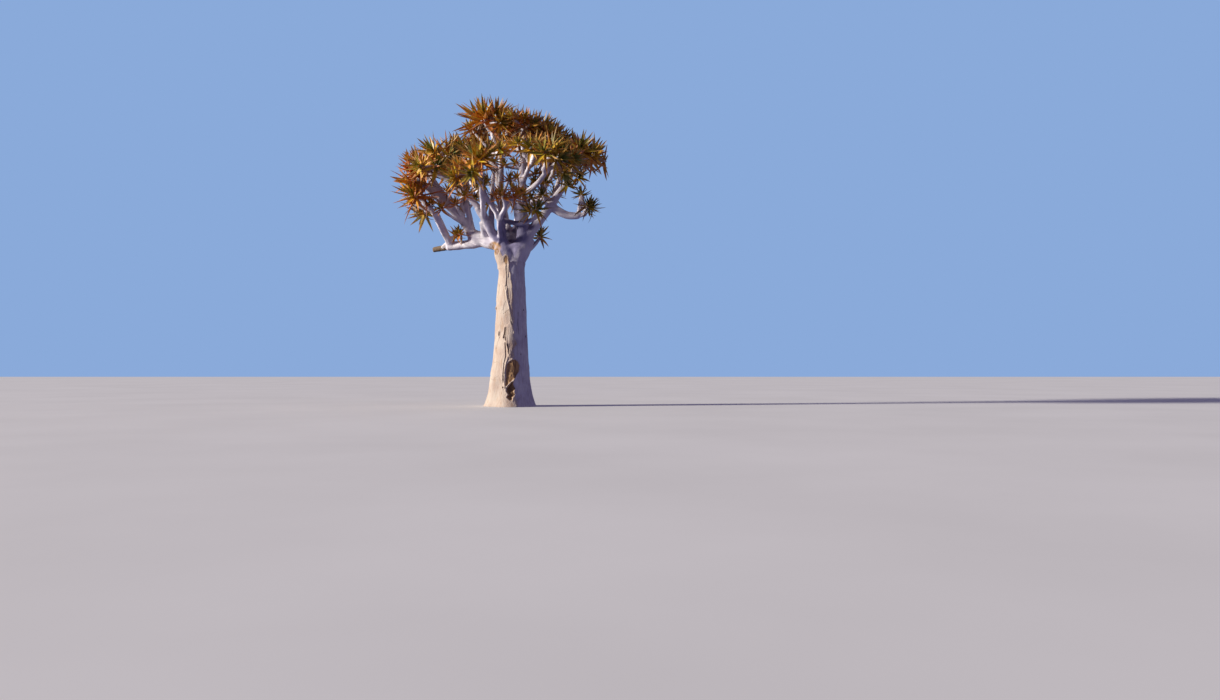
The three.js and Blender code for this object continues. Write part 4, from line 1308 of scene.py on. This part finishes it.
def leaf_tree():
    """Leaves set out on points that say how each is turned, how long it is and which kind it is."""
    sizes = {"Kinds": "Collection", "Upper face": "Material", "Under face": "Material", "Tip": "Material",
             "Slimmest": "Float", "Widest": "Float", "Seed": "Int"}
    tree, given, result = new_tree("leaf sprays", sizes)

    def read(name, kind):
        node = add(tree, "GeometryNodeInputNamedAttribute", Name=name)
        node.data_type = kind
        return node.outputs["Attribute"]

    turned = add(tree, "FunctionNodeEulerToRotation", Euler=read("turned", "FLOAT_VECTOR"))
    breadth = tree.nodes.new("FunctionNodeRandomValue")
    for socket, source in ((2, "Slimmest"), (3, "Widest"), (8, "Seed")):
        tree.links.new(given.outputs[source], breadth.inputs[socket])
    wide = add_math(tree, "MULTIPLY", read("breadth", "FLOAT"), breadth.outputs[1])
    grown = add(tree, "ShaderNodeCombineXYZ", X=wide, Y=read("reach", "FLOAT"), Z=wide)
    kinds = add(tree, "GeometryNodeCollectionInfo", Collection=given.outputs["Kinds"],
                Separate_Children=True, Reset_Children=True)
    leaves = add(
        tree, "GeometryNodeInstanceOnPoints", Points=given.outputs["Geometry"],
        Instance=kinds.outputs[0], Pick_Instance=True, Instance_Index=read("kind", "INT"),
        Rotation=turned.outputs[0], Scale=grown.outputs[0])
    whole = add(tree, "GeometryNodeRealizeInstances", Geometry=leaves.outputs[0]).outputs[0]
    for label, name in (("Upper face", None), ("Under face", "under_face"), ("Tip", "leaf_tip")):
        dressed = add(tree, "GeometryNodeSetMaterial", Geometry=whole, Material=given.outputs[label])
        if name:
            tree.links.new(read(name, "BOOLEAN"), dressed.inputs["Selection"])
        whole = dressed.outputs[0]
    tree.links.new(whole, result.inputs[0])
    return tree


# Rosettes
LEAF_NUMBERS = (("reach", "FLOAT"), ("breadth", "FLOAT"), ("kind", "INT"))
LEAF_LENGTH = 0.385
LEAVES_PER_HEAD = 22
LEAVES_PER_SIDE_HEAD = 20
YOUNGEST_LEAF = 0.8
LEAF_LENGTHS = (0.86, 1.1)
NARROWEST_LEAF = 0.85
HEAD_LENGTH = 0.085
GOLDEN_ANGLE = math.radians(137.5)
INNER_PITCH = 8
OUTER_PITCH = 112
PITCH_JITTER = 9
DRY_HANGS = (8, 35)
DRY_FROM = 0.93
DRY_LENGTH = 0.86
DRY_CHANCE = 0.75
WARMER_OUTWARDS = 0.75
MIDDLE_OF_HEAD = 0.53
CURLING_FROM = 0.45
ROLL = 0.35
ROOT_OUT = 0.016
ROOT_CLEAR = 0.035
LEAF_CLEAR = 0.012
UPRIGHT_SHORTER = 0.09
REACH_CLEAR = 0.044
EDGE_SHARE = 0.78
SHORTEST = 0.5


def rosette(head, wood, low, high, rng):
    """The leaves of one head, from upright young ones in its heart to spreading old ones below. Each is its
    root, its turn, its length, its kind and its tint. One that meets wood or leaves the tree's reach is
    shortened or left out."""
    point, axis, scale, warmth = head
    count = LEAVES_PER_HEAD if scale >= FULL_LEAVES else LEAVES_PER_SIDE_HEAD
    side = beside(axis)
    start = rng.uniform(0, math.tau)
    leaves = []
    for i in range(count):
        share = (i + 0.5) / count
        pitch = math.radians(mix(INNER_PITCH, OUTER_PITCH, share**0.85)
                             + rng.uniform(-PITCH_JITTER, PITCH_JITTER))
        dry = share > DRY_FROM
        if dry:
            pitch += math.radians(rng.uniform(*DRY_HANGS))
        out = Quaternion(axis, start + i * GOLDEN_ANGLE + rng.uniform(-0.2, 0.2)) @ side
        along = axis * math.cos(pitch) + out * math.sin(pitch)
        face = axis * math.sin(pitch) - out * math.cos(pitch)
        root = point - axis * HEAD_LENGTH * scale * share + out * ROOT_OUT * share
        grown = mix(YOUNGEST_LEAF, 1, min(1, share * 2.4)) * rng.uniform(*LEAF_LENGTHS)
        grown *= DRY_LENGTH if dry else 1
        grown *= 1 - UPRIGHT_SHORTER * max(0, along.z)
        length = room_for(root, along, LEAF_LENGTH * scale * grown, wood, low, high, rng)
        if not length:
            continue
        kinds = DRY_KINDS if dry else CURLING_KINDS if share > CURLING_FROM else RISING_KINDS
        rolled = Quaternion(along, rng.uniform(-ROLL, ROLL)) @ face
        turned = Matrix((along.cross(rolled), along, rolled)).transposed().to_euler()
        breadth = LEAF_LENGTH * math.sqrt(scale) * mix(NARROWEST_LEAF, 1, min(1, share * 2))
        leaves.append((root, turned, length, breadth, rng.choice(kinds), tint_of(share, warmth, dry, rng)))
    return leaves


def room_for(root, along, length, wood, low, high, rng):
    """How long a leaf from this root may be, or nothing if there is too little room for it. Those that end at
    the tree's reach end unevenly."""
    hit = wood.ray_cast(root + along * ROOT_CLEAR, along, length)
    if hit[0] and hit[1].dot(along) < 0:
        free = hit[3] + ROOT_CLEAR - LEAF_CLEAR
        if free < length * SHORTEST:
            return None
        length = min(length, free)
    for axis in range(3):
        edge = high[axis] - REACH_CLEAR if along[axis] > 0 else low[axis] + REACH_CLEAR
        reach = (edge - root[axis]) / along[axis] if abs(along[axis]) > 1e-6 else 9
        if reach < length:
            reach *= rng.uniform(EDGE_SHARE, 1)
        if reach < length * SHORTEST:
            return None
        length = min(length, reach)
    return length


def tint_of(share, warmth, dry, rng):
    """Hearts are greener and the spreading leaves warmer, more so on a warm crown."""
    if dry and rng.random() < DRY_CHANCE:
        return len(TINTS) - 1
    value = warmth + WARMER_OUTWARDS * (share - MIDDLE_OF_HEAD) + rng.uniform(-0.12, 0.12)
    return int(np.clip(value * (len(TINTS) - 1), 0, len(TINTS) - 2))


def leaf_meshes(heads, wood):
    """The joined leaves of each tint."""
    kinds = bpy.data.collections.new("leaf kinds")
    for index, shape in enumerate(LEAF_KINDS):
        kinds.objects.link(leaf_kind(index, *shape))
    low, high = cad_bounds
    rng = random.Random(21)
    leaves = [leaf for head in heads for leaf in rosette(head, wood, low, high, rng)]
    tree = leaf_tree()
    for index, (name, upper, under, tip) in enumerate(TINTS):
        own = [leaf for leaf in leaves if leaf[-1] == index]
        points = bpy.data.meshes.new("leaf points")
        points.from_pydata([leaf[0] for leaf in own], [], [])
        turned = points.attributes.new("turned", "FLOAT_VECTOR", "POINT")
        turned.data.foreach_set("vector", [angle for leaf in own for angle in leaf[1]])
        for place, (number, kind) in enumerate(LEAF_NUMBERS, 2):
            layer = points.attributes.new(number, kind, "POINT")
            layer.data.foreach_set("value", [leaf[place] for leaf in own])
        yield name, apply_tree(
            show("leaf points", points), tree, Kinds=kinds, Seed=index + 1, Slimmest=SLIMMEST, Widest=WIDEST,
            Upper_face=leaf_finish(f"{name} leaf", upper),
            # The under faces' darker tints are painted shade
            Under_face=leaf_finish(f"{name} leaf underside", under, 0.6),
            Tip=leaf_finish(f"{name} leaf tip", tip, 0.55))
    for shape in list(kinds.objects):
        bpy.data.objects.remove(shape)
    bpy.data.collections.remove(kinds)


# Scene


def build_stage():
    """A plain pale floor, soft light and a backdrop of the sky's blue."""
    bpy.ops.mesh.primitive_plane_add(size=FLOOR_SIZE)
    floor = bpy.context.object
    floor.name = "floor"
    pale = Finish("pale floor", 0.9)
    skin = pale.mix(pale.mottle(2.0), (240, 238, 235), (234, 232, 229))
    floor.data.materials.append(pale.finished(skin))
    floor.visible_diffuse = False
    world = bpy.data.worlds.new("soft light")
    world.use_nodes = True
    tree = world.node_tree
    glow = tree.nodes["Background"]
    glow.inputs["Color"].default_value = SKY_GLOW
    glow.inputs["Strength"].default_value = SKY_STRENGTH
    backdrop = add(tree, "ShaderNodeBackground", Color=tone(138, 170, 218), Strength=1.0)
    chosen = add(tree, "ShaderNodeMixShader")
    seen = add(tree, "ShaderNodeLightPath").outputs["Is Camera Ray"]
    for place, source in enumerate((seen, glow.outputs[0], backdrop.outputs[0])):
        tree.links.new(source, chosen.inputs[place])
    tree.links.new(chosen.outputs[0], tree.nodes["World Output"].inputs["Surface"])
    bpy.context.scene.world = world
    bpy.context.scene.view_settings.view_transform = "Standard"
    soft_sun("key", SUN_STRENGTH, SUN_FROM)


def soft_sun(name, strength, source):
    lamp = bpy.data.lights.new(name, "SUN")
    lamp.energy = strength
    lamp.color = SUN_COLOUR
    lamp.angle = SUN_WIDTH
    sun = show(name, lamp)
    sun.rotation_euler = Vector(source).to_track_quat("Z", "Y").to_euler()
    return sun


def light_limbs(pieces):
    """The weaker sun, which reaches the limbs in between the leaves."""
    wood = bpy.data.collections.new("lit limbs")
    for piece in pieces:
        wood.objects.link(piece)
    linking = soft_sun("limb light", LIMB_SUN_STRENGTH, LIMB_SUN_FROM).light_linking
    linking.receiver_collection = wood
    linking.blocker_collection = wood


def build_camera():
    lens = bpy.data.cameras.new("camera")
    lens.lens = LENS
    lens.sensor_width = SENSOR_WIDTH
    camera = show("camera", lens)
    camera.location = CAMERA_PLACE
    camera.rotation_euler = (CAMERA_PITCH, 0, 0)
    bpy.context.scene.camera = camera


def settle(name, mesh, slot, *nodes):
    """Makes a mesh a piece of the tree that stands for these nodes of the frame."""
    piece = show(name, mesh)
    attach(piece, "root")
    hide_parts(*nodes)
    return piece


build_camera()
build_stage()
limbs = lay_out_limbs()
stems, fine_twigs, heads = grow_crowns(limbs)
bough_skin = bough_bark()
wood = wood_mesh(limbs.values(), stems, bough_skin)
solid_wood = BVHTree.FromPolygons(
    [tuple(point) for point in points_of(wood)], [tuple(face.vertices) for face in wood.polygons])
settle("trunk_bark", trunk_mesh(solid_wood, trunk_bark()), "trunk_bark", "trunk")
light_limbs([
    settle("bough_wood", wood, "bough_bark", *BOUGHS, *CROWNS),
    settle("dead_stub_wood", broken_stub(*limbs["dead_stub"], dead_wood()), "dead_wood", "dead_stub"),
    settle("fine_twigs", limb_mesh(fine_twigs, TWIG_SIDES, bough_skin), "bough_bark", *CROWNS),
])
for name, mesh in leaf_meshes(heads, solid_wood):
    slot = "green_leaves" if name in ("green", "olive") else "golden_leaves"
    settle(f"{name}_leaves", mesh, slot, *CROWNS)
